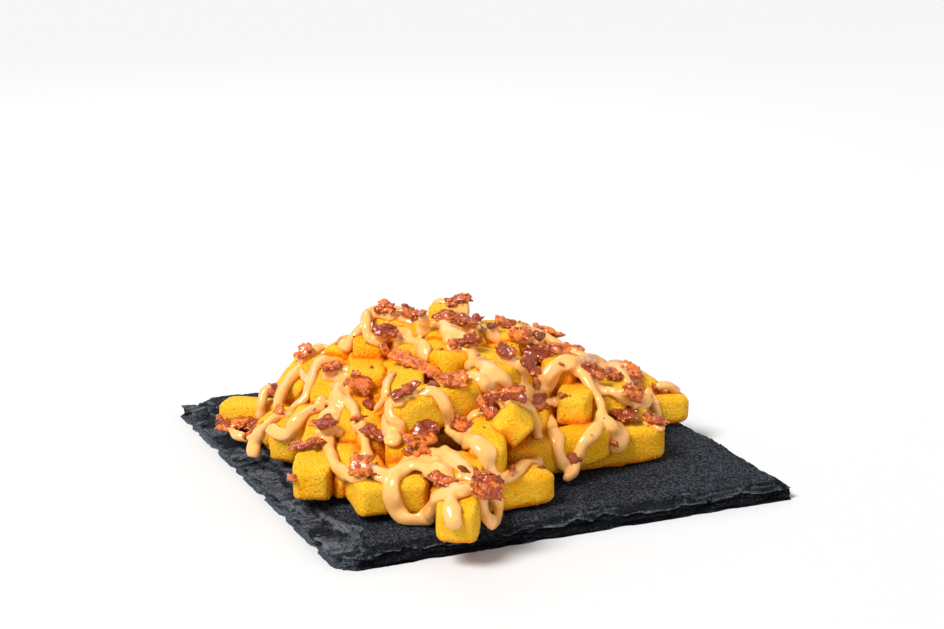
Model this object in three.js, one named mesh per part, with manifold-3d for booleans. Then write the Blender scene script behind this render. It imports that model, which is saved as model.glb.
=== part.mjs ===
// Loaded fries on a slate board. A low heap of thick-cut seasoned fries lies on a square slab of slate with
// hand-dressed edges. A cream sauce runs over the heap in thick strands, and crisp bacon pieces lie on top.
// Millimetres, +Z up. The layout's own origin is the middle of the board's underside. The finished group is
// moved so that its origin is the middle of the base of the whole.
import * as THREE from "three";
import { mergeVertices } from "three/addons/utils/BufferGeometryUtils.js";
import Module from "manifold-3d";

const wasm = await Module();
wasm.setup();

// The board: its underside, its thickness, how far each dressed side leans in, and how deep flakes have come off.
const BOARD = { width: 158.7, depth: 167.5, thickness: 6.8, stepsPerSide: 20, layers: 2, flake: 1.6 };
const LEAN = { left: 5.7, right: 3, front: 0.5, back: 3.5 };

// Parts that lie on each other keep this gap, and the food lies this high.
const GAP = 0.3;
const REST = BOARD.thickness + GAP;

// The heap's even surface: its reach to each side, its height over the board, how its slope falls, and its turn.
const HEAP = { across: 80, front: 84, back: 76, height: 43, shape: 1.6, turn: -24, middle: [-1, -2] };

// The heap's hidden middle, which the fries are joined on.
const CORE = { across: 60, front: 50, back: 58, height: 34, shape: 1.8, middle: [-4, 4], sides: 16 };

// A fry: how much its corners are cut, how long its rounded ends are, how much its girth changes, and the
// width up to which it is thin and has whole corners.
const FRY = { corner: 2.6, end: 2.4, taper: 0.07, thin: 11 };

// A strand of sauce: how far apart its steps are, its sides, and how far its middle lies outside the fries.
const STRAND = { step: 11, sides: 5, proud: 0.35 };

// A piece of bacon: the size of its facets, how high it waves, how ragged its outline is, and how far it is
// lifted off the place that its row gives.
const SHEET = { cell: 3.2, wave: 0.45, ragged: 0.14, lift: 1 };

// What the far side carries, by rule: the arc that it takes up, its strands and its bacon.
const FAR_SIDE = { from: -22, to: 200 };
const FAR_STRANDS = { count: 3, radius: 2.7, from: 0.2, to: 0.86, points: 5, sway: 14, proud: 12 };
const FAR_BACON = { count: 6, inner: 0.42, outer: 0.68, proud: 2.2, length: 9, width: 5.5, thickness: 2 };

const rad = THREE.MathUtils.degToRad;

// Every fry that shows from the front: [name, middle of the end that shows, heading, rise, length, width,
// height, roll]. Heading is the way it runs from that end, in degrees from +X, and rise is its slope.
const FRIES = [
  ["front_tip", [-47, -97, 14], 62, 10, 40, 13, 12.5, 0],
  ["front_left", [-50, -69, 14], 70, 10, 36, 13, 13, 0],
  ["corner_main", [-59, -66, 14], 84, 4, 40, 13, 12.5, 0],
  ["corner_thin", [-62, -47, 12], 90, 10, 30, 9, 10, 0],
  ["left_post", [-74, -45, 14], 62, 9, 40, 12.5, 12, 0],
  ["left_stub", [-70, -4, 13], 41, 10, 36, 12, 12, 0],
  ["left_flat", [-74, 48, 12], -36, 1, 42, 10, 9.5, 0],
  ["left_lean", [-55, 32, 17], 50, 14, 30, 12, 11, 0],
  ["left_face", [-54, -5, 25], 66, 9, 34, 12, 11, 0],
  ["left_crown", [-41, 29, 33], -41, 4, 34, 10, 10, 0],
  ["left_behind", [-63, -11, 19], 60, 8, 34, 12, 12, 0],
  ["mid_post", [-56, -32, 20], 62, 11, 36, 9.5, 11, 0],
  ["pocket", [-51, -42, 20], 66, 8, 34, 12, 12, 0],
  ["head_left", [-34, 7, 38], 62, -6, 32, 12.5, 12.5, 0],
  ["head_under", [-41, -11, 31], 70, 2, 34, 13, 12, 0],
  ["top_left", [-26, 21, 44], -43, -4, 40, 11, 11, 0],
  ["mid_upper", [-39, -36, 33], 65, 2, 34, 13, 12, 0],
  ["loop_back", [-47, -58, 22], 70, 8, 34, 12, 12, 0],
  ["centre_big", [-47, -45, 33], 3, 8, 40, 13, 12.5, 0],
  ["centre_right", [-27, -45, 36], 20, 5, 34, 12, 12, 0],
  ["gap_end", [-12, -7, 37], 66, -6, 28, 10, 10, 0],
  ["gap_right", [-2, -15, 41], 122, 2, 32, 11, 11, 0],
  ["crown_slope", [8, -28, 36], 141, 8, 36, 11, 11, 0],
  ["top_right", [21, -15, 40], 143, 4, 42, 10, 10, 0],
  ["end_diamond", [-14, -67, 31], 68, 0, 34, 11, 11, 45],
  ["mid_wall", [-26, -73, 23], 64, 10, 36, 12, 12, 0],
  ["front_flat", [-2, -69, 13], 178, 0, 42, 12.5, 11.5, 0],
  ["long_right", [51, -45, 13], 176, 0, 54, 12.5, 12, 0],
  ["long_left", [-12, -53, 16], 6, 2, 40, 12, 12, 0],
  ["right_box", [17, -46, 27], 56, -2, 34, 12, 12, 0],
  ["right_dark", [35, -40, 26], 62, -2, 30, 11, 10, 0],
  ["right_far", [77, -18, 13], 160, 1, 44, 10.5, 10.5, 0],
  ["right_head", [19, -30, 34], 52, -10, 28, 13, 12.5, 0],
  ["right_over", [48, -28, 25], 160, 10, 36, 11, 10, 0],
  ["back_chip", [35, 6, 34], 154, 3, 34, 9, 9, 0],
  ["right_back", [68, -11, 18], 172, 18, 30, 11, 10, 0],
  ["crest_back", [-2, 21, 45], 60, -14, 30, 9, 9, 0],
  ["crest_right", [11, 8, 41], 40, -14, 30, 10, 9, 0],
];

// The fries of the far side, in tiers: [how many, share of the heap's radius, length, girth].
const TIERS = [
  [8, 0.86, 42, 12.5],
  [6, 0.62, 42, 12],
  [3, 0.36, 40, 12],
];

// Each strand of sauce at the front: [name, half its thickness, the points that it runs through].
const STRANDS = [
  ["left_drop", 2.4, [[-58, 35, 22], [-61, 36, 22], [-64, 33, 18], [-64, 34, 13]]],
  ["crown_loop", 2.4, [[-20, 13, 49], [-22, 19, 50], [-26, 21, 51], [-30, 19, 50], [-33, 11, 48], [-33, 10, 44], [-31, 6, 43]]],
  ["outer_left", 2.6, [[-36, 42, 34], [-40, 43, 32], [-45, 42, 27], [-52, 36, 25], [-58, 29, 22], [-61, 24, 20]]],
  ["inner_left", 2.4, [[-42, 18, 35], [-46, 19, 35], [-51, 14, 33], [-55, 6, 31], [-60, 1, 27], [-63, 7, 22]]],
  ["broad_pour", 3.6, [[-45, 7, 34], [-45, 0, 31], [-49, -7, 29], [-53, -10, 27], [-58, -18, 26]]],
  ["pour_fall", 2.2, [[-49, -10, 31], [-49, -17, 29], [-51, -26, 27], [-54, -40, 27], [-55, -45, 22]]],
  ["low_left", 2.6, [[-56, -6, 28], [-61, -7, 26], [-66, -10, 25], [-68, -7, 19], [-71, -4, 19], [-71, 3, 20]]],
  ["toe_left", 2.8, [[-64, 10, 21], [-70, 6, 20], [-73, 8, 16], [-74, 11, 12], [-75, 10, 8]]],
  ["slate_drop", 2.4, [[-76, 32, 9], [-74, 26, 9], [-68, 22, 9], [-60, 19, 11]]],
  ["mid_left", 2.7, [[-62, -27, 25], [-64, -34, 23], [-65, -40, 21], [-65, -47, 19], [-63, -58, 20]]],
  ["thin_fall", 1.7, [[-36, -20, 41], [-40, -26, 39], [-44, -34, 37], [-45, -28, 31]]],
  ["crown_cross", 2.6, [[-31, 6, 44], [-25, 7, 45], [-22, 4, 44], [-19, -3, 43], [-20, -13, 42], [-20, -13, 38]]],
  ["top_drop", 2.6, [[-11, 5, 48], [-9, 0, 48], [-11, -8, 47], [-13, -17, 44]]],
  ["crest_pour", 3.0, [[-8, -18, 44], [-9, -22, 42], [-9, -31, 42], [-11, -43, 45], [-10, -49, 43], [-6, -46, 38]]],
  ["crest_knot", 2.4, [[-21, -45, 43], [-18, -44, 44], [-17, -49, 43], [-14, -50, 39]]],
  ["slope_wrap", 2.2, [[-2, -35, 45], [0, -40, 45], [2, -42, 42], [2, -42, 38]]],
  ["centre_wrap", 2.8, [[-38, -47, 41], [-34, -48, 42], [-32, -51, 40], [-30, -52, 35], [-27, -43, 27], [-27, -38, 23]]],
  ["centre_drip", 3.4, [[-47, -40, 31], [-48, -47, 30], [-50, -55, 29]]],
  ["front_over", 2.6, [[-30, -53, 28], [-28, -61, 28], [-28, -74, 28], [-26, -74, 23], [-23, -75, 19], [-16, -72, 19], [-8, -64, 18], [-1, -60, 16]]],
  ["front_loop", 2.8, [[-43, -80, 24], [-44, -70, 24], [-47, -64, 24], [-52, -64, 22], [-56, -68, 18], [-54, -68, 11], [-51, -71, 7], [-47, -73, 9], [-47, -79, 15], [-47, -89, 22], [-42, -90, 23], [-37, -87, 23]]],
  ["front_band", 3.0, [[-40, -59, 25], [-37, -67, 25], [-36, -77, 25], [-35, -84, 23]]],
  ["tip_drop", 3.0, [[-47, -90, 22], [-50, -96, 20], [-49, -98, 17], [-47, -98, 16]]],
  ["tip_loop", 2.7, [[-37, -90, 22], [-35, -88, 16], [-33, -91, 12], [-27, -83, 10], [-24, -77, 12], [-25, -75, 15]]],
  ["corner_run", 2.4, [[-58, -52, 22], [-58, -60, 21], [-57, -65, 21], [-53, -63, 21]]],
  ["diamond_arch", 2.5, [[-13, -52, 35], [-10, -57, 37], [-6, -56, 35], [0, -52, 29], [2, -52, 23]]],
  ["box_fall", 2.5, [[13, -32, 27], [12, -39, 24], [8, -51, 23], [6, -58, 19], [8, -58, 14]]],
  ["arch", 3.1, [[-1, -43, 36], [7, -36, 31], [14, -31, 30], [17, -30, 34], [19, -31, 39], [23, -31, 40], [28, -30, 37], [30, -32, 33], [32, -38, 31]]],
  ["arch_right", 2.6, [[33, -38, 31], [36, -42, 30], [47, -31, 21], [55, -24, 17], [61, -19, 20]]],
  ["arch_down", 2.7, [[22, -37, 33], [26, -41, 32], [29, -43, 28], [27, -48, 24], [20, -55, 22], [15, -57, 19], [14, -57, 13]]],
  ["arch_blob", 4.0, [[25, -51, 23], [31, -49, 20], [31, -51, 17]]],
  ["puddle", 3.4, [[7, -58, 13], [10, -59, 10], [9, -63, 10]]],
  ["far_fall", 2.2, [[62, -17, 20], [63, -19, 16], [64, -20, 11]]],
  ["far_drop", 2.4, [[66, -16, 21], [69, -17, 22], [73, -15, 19]]],
  ["back_arch", 2.5, [[29, -27, 38], [38, -17, 35], [45, -13, 32], [48, -13, 29]]],
  ["back_fall", 2.2, [[49, -12, 30], [48, -19, 32], [45, -30, 31], [46, -33, 27]]],
  ["top_run", 2.6, [[3, -4, 47], [5, -7, 46], [6, -11, 44]]],
  ["top_run_b", 2.4, [[17, -9, 46], [17, -16, 46], [19, -18, 42]]],
];

// Each larger piece of bacon at the front: [name, its middle, the way its flat side faces, the way it runs,
// length, width, thickness].
const BACON = [
  ["curl_left", [-45, 41, 32], [-0.3, -0.4, 0.9], [0.7, 0.6, 0.5], 7.5, 4.5, 1.8],
  ["pour_cap", [-48, 5, 36], [-0.2, -0.2, 1], [0.9, -0.3, 0.2], 7, 5, 1.8],
  ["loop_chunk", [-29, 4, 47], [-0.3, -0.8, 0.6], [0.9, -0.4, -0.1], 8, 4.5, 2.6],
  ["face_pink", [-44, -11, 35], [-0.4, -0.8, 0.4], [0.7, -0.6, -0.4], 9, 5.5, 2],
  ["wall_red", [-51, -42, 27], [-0.1, -0.4, 0.9], [0.6, -0.8, -0.3], 9, 5, 1.8],
  ["knot_dark", [-63, -29, 28], [-0.1, -0.2, 1], [1, 0.2, 0.1], 7, 6, 2.2],
  ["post_strip", [-70, -32, 23], [-0.2, -0, 1], [0.9, -0.3, 0.2], 10.5, 5.5, 2],
  ["pink_thick", [-62, -58, 23], [-0.3, -0.3, 0.9], [0.4, 0.8, 0.4], 10, 6.5, 2.8],
  ["slate_strip", [-71, 37, 9.5], [-0.35, -0.35, 0.9], [0.8, -0.6, 0.1], 17, 6, 2],
  ["long_strip", [-26, -16, 40], [-0.1, -0.4, 0.9], [0.6, -0.8, -0.3], 21, 6, 2],
  ["edge_strip", [-43, -48, 42], [-0.2, -0.3, 0.9], [0.9, 0.3, 0.3], 11, 3.5, 1.6],
  ["pale_slab", [-26, -47, 43], [-0.1, -0.4, 0.9], [0.9, -0.4, -0.1], 9.5, 6, 1.8],
  ["cap_slab", [-10, -19, 47], [-0.3, -0.5, 0.8], [1, -0.2, 0.2], 10, 4.5, 1.6],
  ["summit_top", [0, 8, 53.5], [-0.2, -0.3, 0.9], [0.8, -0.3, 0.4], 9, 5, 2],
  ["summit_red", [-7, 3, 49.5], [0, -0.5, 0.9], [1, 0.2, 0.1], 9, 5, 2],
  ["summit_side", [-3, -6, 50], [-0.3, -0.2, 0.9], [0.6, -0.8, -0], 11, 5.5, 2],
  ["ridge_a", [-18, 9, 51], [-0.1, -0.5, 0.9], [0.7, -0.6, -0.3], 7, 5, 1.8],
  ["ridge_b", [-24, 15, 52], [-0.6, -0.5, 0.6], [0.5, -0.8, -0.1], 7, 4.5, 1.8],
  ["slope_a", [13, -3, 46], [0.3, -0.4, 0.9], [0.9, -0.2, -0.3], 8.5, 5.5, 2],
  ["slope_b", [13, -15, 46], [-0.6, -0.4, 0.7], [0.6, -0.8, -0], 8, 5, 1.8],
  ["slope_dark", [-3, -38, 48], [-0.5, -0.4, 0.8], [0.3, -0.9, -0.2], 8, 4, 1.8],
  ["drop_dark", [2, -44, 44], [0.2, -0.8, 0.5], [0.5, -0.4, -0.8], 8, 4.5, 1.8],
  ["end_brown", [17, -19, 40], [-0.4, -0.8, 0.4], [0.9, -0.5, -0.1], 9, 6, 2],
  ["orange_flag", [31, -12, 37], [0.1, -0.4, 0.9], [0.9, -0.3, -0.1], 13, 7.5, 1.8],
  ["middle_red", [-12, -57, 40], [-0.4, -0.8, 0.5], [0.9, -0.4, 0.1], 12, 4.5, 2],
  ["middle_fall", [-17, -53, 35], [-0.2, -0.7, 0.7], [0.2, -0.7, -0.7], 9, 6, 1.8],
  ["arch_red", [7, -40, 30], [0.2, -0.9, 0.4], [1, 0.1, -0.1], 8, 6, 2],
  ["pocket_pink", [-25, -54, 30], [-0.7, -0.7, 0.2], [0.6, -0.7, -0.4], 9.5, 5.5, 2],
  ["front_dark", [-38, -52, 30], [-0.3, -0.6, 0.7], [0.8, -0.6, -0.1], 8.5, 7, 2.2],
  ["front_rust", [-43, -59, 29], [0.1, -0.4, 0.9], [1, 0.2, 0], 11, 5.5, 2],
  ["front_strip", [-44, -81, 23], [-0.2, -0.5, 0.8], [0.6, -0.8, -0.3], 10, 4, 2],
  ["front_big", [-35, -92, 24], [0, -0.8, 0.7], [0.9, -0.3, -0.4], 10, 9, 2.4],
  ["arch_top_a", [30, -35, 36], [-0.1, -0.7, 0.7], [0.8, -0.5, -0.3], 8, 5, 2],
  ["arch_top_b", [40, -29, 32], [0, -0.2, 1], [0.3, -0.9, -0.2], 8, 5.5, 2],
  ["back_stack", [57, -12, 27], [0.2, -0.3, 0.9], [0.1, -0.9, -0.4], 10, 6, 2],
  ["far_pink", [40, -44, 30], [0.2, -0.9, 0.4], [0.9, -0, -0.5], 8.5, 5, 1.8],
  ["long_dark", [39, -42, 22], [-0.2, -0.4, 0.9], [0.6, -0.7, -0.2], 8, 7, 2.2],
  ["long_rust", [47, -47.5, 20.5], [0, -0.2, 1], [0.4, -0.9, -0.2], 9, 4.5, 1.8],
];

// The small bits of bacon: [its middle, its size].
const BITS = [
  [[-44, -20, 29], 6], [[-53, -32, 30], 5.5], [[-58, -62, 22], 6], [[-12, -19, 38], 6], [[-3, -13, 47], 5.5],
  [[11, -31, 34], 5.5], [[59, -15, 24], 5], [[29, -54, 18], 5],
];

// A number from -1 to 1 that looks random and is the same on every run.
function jitter(i, salt) {
  const wave = Math.sin(i * 12.9898 + salt * 78.233) * 43758.5453;
  return 2 * (wave - Math.floor(wave)) - 1;
}

// The point of the heap's even surface at a share of its radius and an angle, and the lift over it.
function onHeap(share, degrees, lift) {
  const depth = Math.sin(rad(degrees)) > 0 ? HEAP.back : HEAP.front;
  const flat = new THREE.Vector2(
    HEAP.across * share * Math.cos(rad(degrees)),
    depth * share * Math.sin(rad(degrees)),
  );
  flat.rotateAround(new THREE.Vector2(), rad(HEAP.turn));
  const z = BOARD.thickness + HEAP.height * (1 - share ** HEAP.shape) + lift;
  return [flat.x + HEAP.middle[0], flat.y + HEAP.middle[1], z];
}

// The angle of the far side at a share of its arc.
function farAngle(share) {
  return FAR_SIDE.from + share * (FAR_SIDE.to - FAR_SIDE.from);
}

// The far fries lie with one end out, each on the heap's even surface and a little askew.
function farFries() {
  const made = [];
  TIERS.forEach(([count, share, length, girth], tier) => {
    for (let i = 0; i < count; i++) {
      const n = tier * 20 + i;
      const at = farAngle((i + 0.5 + 0.3 * jitter(n, 1)) / count);
      const [x, y, z] = onHeap(share * (1 + 0.07 * jitter(n, 2)), at, -girth * 0.55);
      const inward = THREE.MathUtils.radToDeg(Math.atan2(HEAP.middle[1] - y, HEAP.middle[0] - x));
      made.push([
        `far_${tier}_${i}`,
        [x, y, Math.max(REST + girth / 2, z)],
        inward + 48 * jitter(n, 3),
        14 + 8 * jitter(n, 4) - 5 * tier,
        length * (1 + 0.12 * jitter(n, 5)),
        girth * (1 + 0.06 * jitter(n, 6)),
        girth * (0.97 + 0.06 * jitter(n, 7)),
        12 * jitter(n, 8),
      ]);
    }
  });
  return made;
}

// A point moved straight down until it lies at the clearance over the fries or the board.
function dropOn([x, y, z], clearance) {
  const point = new THREE.Vector3(x, y, z);
  for (let turn = 0; turn < 12; turn++) {
    point.z = Math.max(REST + clearance, point.z - Math.max(0, distanceToFries(point) - clearance));
  }
  return point.toArray();
}

// The far strands run down from the crown, swaying from side to side.
function farStrands() {
  const made = [];
  for (let i = 0; i < FAR_STRANDS.count; i++) {
    const points = [];
    for (let k = 0; k < FAR_STRANDS.points; k++) {
      const run = k / (FAR_STRANDS.points - 1);
      const at = farAngle((i + 0.5) / FAR_STRANDS.count) + FAR_STRANDS.sway * Math.sin(2.2 * k + i);
      const share = FAR_STRANDS.from + run * (FAR_STRANDS.to - FAR_STRANDS.from - 0.12 * (i % 3));
      points.push(dropOn(onHeap(share, at, FAR_STRANDS.proud), FAR_STRANDS.radius * STRAND.proud));
    }
    made.push([`far_${i}`, FAR_STRANDS.radius, points]);
  }
  return made;
}

// The larger pieces of bacon of the far side, alternately high and low on it.
function farBacon() {
  const made = [];
  for (let i = 0; i < FAR_BACON.count; i++) {
    const at = farAngle((i + 0.5) / FAR_BACON.count);
    const place = dropOn(onHeap(i % 2 ? FAR_BACON.inner : FAR_BACON.outer, at, FAR_BACON.proud), FAR_BACON.proud);
    const facing = [place[0] / HEAP.across, place[1] / HEAP.back, 1.1];
    const run = [Math.cos(i * 2.4), Math.sin(i * 2.4), 0];
    const length = FAR_BACON.length + 2 * jitter(i, 31);
    const width = FAR_BACON.width + jitter(i, 32);
    made.push([`far_${i}`, place, facing, run, length, width, FAR_BACON.thickness]);
  }
  return made;
}

// A fry's own axes: X across it, Y up through it, Z along it from the end that shows.
function fryFrame([, tip, heading, rise, , , , roll]) {
  const level = rad(heading);
  const slope = rad(rise);
  const along = new THREE.Vector3(
    Math.cos(slope) * Math.cos(level),
    Math.cos(slope) * Math.sin(level),
    Math.sin(slope),
  );
  const across = new THREE.Vector3(0, 0, 1).cross(along).normalize();
  const up = along.clone().cross(across);
  across.applyAxisAngle(along, rad(roll));
  up.applyAxisAngle(along, rad(roll));
  return new THREE.Matrix4().makeBasis(across, up, along).setPosition(...tip);
}

function fryOf(row, i, corner) {
  const [, , , , length, width, height] = row;
  const frame = fryFrame(row);
  const taper = FRY.taper * jitter(i, 12);
  return { frame, back: frame.clone().invert(), length, width, height, taper, corner };
}

const fries = [
  ...FRIES.map((row, i) => fryOf(row, i, row[5] > FRY.thin ? FRY.corner : 0)),
  ...farFries().map((row, i) => fryOf(row, i + FRIES.length, 0)),
];

// The outline of a bar, with its corners cut where a cut is given.
function barSection(width, height, cut) {
  const w = width / 2;
  const h = height / 2;
  const whole = [[w, h], [-w, h], [-w, -h], [w, -h]];
  const eight = [
    [w, h - cut], [w - cut, h], [cut - w, h], [-w, h - cut],
    [-w, cut - h], [cut - w, -h], [w - cut, -h], [w, cut - h],
  ];
  return new THREE.Shape((cut > 0 ? eight : whole).map(([x, y]) => new THREE.Vector2(x, y)));
}

// One fry: a bar with rounded ends, a little tapered.
function fryGeometry({ frame, length, width, height, taper, corner }) {
  const round = FRY.end * 0.6;
  const geometry = new THREE.ExtrudeGeometry(
    barSection(width - 2 * round, height - 2 * round, corner * 0.6),
    { depth: length - 2 * FRY.end, bevelThickness: FRY.end, bevelSize: round, bevelSegments: 1 },
  );
  geometry.translate(0, 0, FRY.end);
  const place = geometry.attributes.position;
  for (let i = 0; i < place.count; i++) {
    const girth = 1 + taper * ((2 * place.getZ(i)) / length - 1);
    place.setXYZ(i, place.getX(i) * girth, place.getY(i) * girth, place.getZ(i));
  }
  return geometry.applyMatrix4(frame);
}

// A closed geometry as a solid that can be joined and cut, and back again.
function solidOf(geometry) {
  const bare = geometry.clone();
  bare.deleteAttribute("normal");
  bare.deleteAttribute("uv");
  const merged = mergeVertices(bare, 1e-3);
  return new wasm.Manifold(
    new wasm.Mesh({
      numProp: 3,
      vertProperties: merged.attributes.position.array,
      triVerts: new Uint32Array(merged.index.array),
    }),
  );
}

function geometryOf(solid) {
  const { numProp, numVert, vertProperties, triVerts } = solid.getMesh();
  const place = new Float32Array(numVert * 3);
  for (let i = 0; i < numVert; i++) place.set(vertProperties.subarray(i * numProp, i * numProp + 3), i * 3);
  const geometry = new THREE.BufferGeometry();
  geometry.setAttribute("position", new THREE.BufferAttribute(place, 3));
  geometry.setIndex(new THREE.BufferAttribute(new Uint32Array(triVerts), 1));
  return geometry;
}

// The board: its outline drawn up in layers, each moved in by the side's lean and by the flakes lost there.
function boardGeometry() {
  const { width, depth, thickness, stepsPerSide, layers } = BOARD;
  const corners = [[-1, -1], [1, -1], [1, 1], [-1, 1]];
  const outline = [];
  corners.forEach(([x, y], side) => {
    const [nextX, nextY] = corners[(side + 1) % 4];
    for (let i = 0; i < stepsPerSide; i++) {
      const t = i / stepsPerSide;
      outline.push(new THREE.Vector2(((x + (nextX - x) * t) * width) / 2, ((y + (nextY - y) * t) * depth) / 2));
    }
  });
  const geometry = new THREE.ExtrudeGeometry(new THREE.Shape(outline), {
    depth: thickness,
    steps: layers,
    bevelEnabled: false,
  });
  const place = geometry.attributes.position;
  const edge = 0.01;
  for (let i = 0; i < place.count; i++) {
    const [x, y, z] = [place.getX(i), place.getY(i), place.getZ(i)];
    const up = z / thickness;
    const flake = BOARD.flake * Math.max(0, flakeAt(x, y, up));
    let inX = 0;
    let inY = 0;
    if (x < edge - width / 2) inX = up * LEAN.left + flake;
    if (x > width / 2 - edge) inX = -(up * LEAN.right + flake);
    if (y < edge - depth / 2) inY = up * LEAN.front + flake * 0.7;
    if (y > depth / 2 - edge) inY = -(up * LEAN.back + flake);
    place.setXYZ(i, x + inX, y + inY, z);
  }
  return geometry;
}

// How deep a flake has come off the board's edge: below 0 where it is whole, and at most about 1.
function flakeAt(x, y, up) {
  const run = x + y * 1.3;
  return 0.5 * Math.sin(run * 0.19 + up * 2.1) + 0.45 * Math.sin(run * 0.47 - up * 3.7 + 1.3) - 0.1;
}

// The heap's hidden middle, a dome turned with the heap.
function coreGeometry() {
  const profile = [new THREE.Vector2(0, REST)];
  for (const share of [1, 0.85, 0.6, 0.3, 0]) {
    profile.push(new THREE.Vector2(share, REST + CORE.height * (1 - share ** CORE.shape)));
  }
  const geometry = new THREE.LatheGeometry(profile, CORE.sides);
  geometry.rotateX(Math.PI / 2);
  const place = geometry.attributes.position;
  for (let i = 0; i < place.count; i++) {
    const depth = place.getY(i) > 0 ? CORE.back : CORE.front;
    place.setXYZ(i, place.getX(i) * CORE.across, place.getY(i) * depth, place.getZ(i));
  }
  geometry.rotateZ(rad(HEAP.turn));
  return geometry.translate(...CORE.middle, 0);
}

// How far a point lies outside the nearest fry, less than 0 inside it.
function distanceToFries(point) {
  let nearest = Infinity;
  const q = new THREE.Vector3();
  for (const fry of fries) {
    q.copy(point).applyMatrix4(fry.back);
    const x = Math.abs(q.x) - fry.width / 2 + FRY.corner;
    const y = Math.abs(q.y) - fry.height / 2 + FRY.corner;
    const z = Math.abs(q.z - fry.length / 2) - fry.length / 2 + FRY.corner;
    const out = Math.hypot(Math.max(x, 0), Math.max(y, 0), Math.max(z, 0));
    nearest = Math.min(nearest, out + Math.min(Math.max(x, y, z), 0) - FRY.corner);
  }
  return nearest;
}

// The way out of the fries at a point.
function wayOut(point) {
  const step = 0.5;
  const way = new THREE.Vector3();
  for (const axis of ["x", "y", "z"]) {
    const ahead = point.clone();
    const behind = point.clone();
    ahead[axis] += step;
    behind[axis] -= step;
    way[axis] = distanceToFries(ahead) - distanceToFries(behind);
  }
  return way.lengthSq() > 0 ? way.normalize() : new THREE.Vector3(0, 0, 1);
}

// A point moved out until it is at least so far outside every fry and over the board.
function liftOut(point, clearance) {
  const longest = 1.5;
  for (let turn = 0; turn < 6; turn++) {
    const lack = clearance - distanceToFries(point);
    if (lack <= 0) break;
    point.addScaledVector(wayOut(point), Math.min(lack, longest));
  }
  point.z = Math.max(point.z, REST + clearance);
  return point;
}

// A strand of sauce: a many-sided rope along its points, laid out on the fries.
function strandGeometry([, radius, points]) {
  const route = new THREE.CatmullRomCurve3(points.map((point) => new THREE.Vector3(...point)));
  const steps = Math.max(2, Math.round(route.getLength() / STRAND.step));
  const laid = route.getSpacedPoints(steps).map((point) => liftOut(point, radius * STRAND.proud));
  const section = [];
  for (let i = 0; i < STRAND.sides; i++) {
    const at = (i / STRAND.sides) * 2 * Math.PI;
    section.push(new THREE.Vector2(radius * Math.cos(at), radius * Math.sin(at)));
  }
  return new THREE.ExtrudeGeometry(new THREE.Shape(section), {
    steps,
    extrudePath: new THREE.CatmullRomCurve3(laid),
  });
}

// A small bit: eight faces, turned its own way.
function bitGeometry([place, size], i) {
  const bit = new THREE.OctahedronGeometry(size / 2);
  bit.scale(1, 0.7, 0.6).rotateX(i).rotateZ(2 * i);
  return bit.translate(...place);
}

// A piece of bacon's own axes: X the way it runs, Z the way it faces.
function sheetFrame([, place, facing, run]) {
  const face = new THREE.Vector3(...facing).normalize();
  const along = new THREE.Vector3(...run);
  along.addScaledVector(face, -along.dot(face)).normalize();
  const across = face.clone().cross(along);
  const middle = new THREE.Vector3(...place).addScaledVector(face, SHEET.lift);
  return new THREE.Matrix4().makeBasis(along, across, face).setPosition(middle);
}

// A piece of bacon: a thin wavy sheet, both of its faces split into triangles alike.
function sheetGeometry(row, i) {
  const [, , , , length, width, thickness] = row;
  const cellsX = Math.max(2, Math.round(length / SHEET.cell));
  const cellsY = Math.max(1, Math.round(width / SHEET.cell));
  const place = [];
  for (let x = 0; x <= cellsX; x++) {
    for (let y = 0; y <= cellsY; y++) {
      const n = i * 31 + x * 7 + y * 3;
      const shareX = (2 * x) / cellsX - 1;
      const shareY = (2 * y) / cellsY - 1;
      const px = shareX * (length / 2) * (1 + SHEET.ragged * shareX * jitter(n, 22));
      const py = shareY * (width / 2) * (1 + SHEET.ragged * jitter(n, 21));
      const wave = SHEET.wave * (Math.sin(px * 0.75 + i) + 0.6 * jitter(n, 23) * Math.abs(shareY));
      for (const side of [-1, 1]) place.push(px, py, wave + (side * thickness) / 2);
    }
  }
  const index = [];
  const at = (x, y, side) => (x * (cellsY + 1) + y) * 2 + side;
  const quad = (a, b, c, d) => index.push(a, b, c, a, c, d);
  for (let x = 0; x < cellsX; x++) {
    for (let y = 0; y < cellsY; y++) {
      quad(at(x, y, 1), at(x + 1, y, 1), at(x + 1, y + 1, 1), at(x, y + 1, 1));
      index.push(at(x, y, 0), at(x + 1, y + 1, 0), at(x + 1, y, 0));
      index.push(at(x, y, 0), at(x, y + 1, 0), at(x + 1, y + 1, 0));
    }
    quad(at(x, 0, 0), at(x + 1, 0, 0), at(x + 1, 0, 1), at(x, 0, 1));
    quad(at(x + 1, cellsY, 0), at(x, cellsY, 0), at(x, cellsY, 1), at(x + 1, cellsY, 1));
  }
  for (let y = 0; y < cellsY; y++) {
    quad(at(0, y + 1, 0), at(0, y, 0), at(0, y, 1), at(0, y + 1, 1));
    quad(at(cellsX, y, 0), at(cellsX, y + 1, 0), at(cellsX, y + 1, 1), at(cellsX, y, 1));
  }
  const geometry = new THREE.BufferGeometry();
  geometry.setAttribute("position", new THREE.Float32BufferAttribute(place, 3));
  geometry.setIndex(index);
  return geometry.applyMatrix4(sheetFrame(row));
}

// The box that a piece of bacon fits in with the gap all round, which is cut from the heap.
function pocketGeometry(row) {
  const [, , , , length, width, thickness] = row;
  const spread = 1 + SHEET.ragged;
  const box = new THREE.BoxGeometry(
    length * spread + 2 * GAP,
    width * spread + 2 * GAP,
    thickness + 3.2 * SHEET.wave + 2 * GAP,
  );
  return box.applyMatrix4(sheetFrame(row));
}

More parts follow.
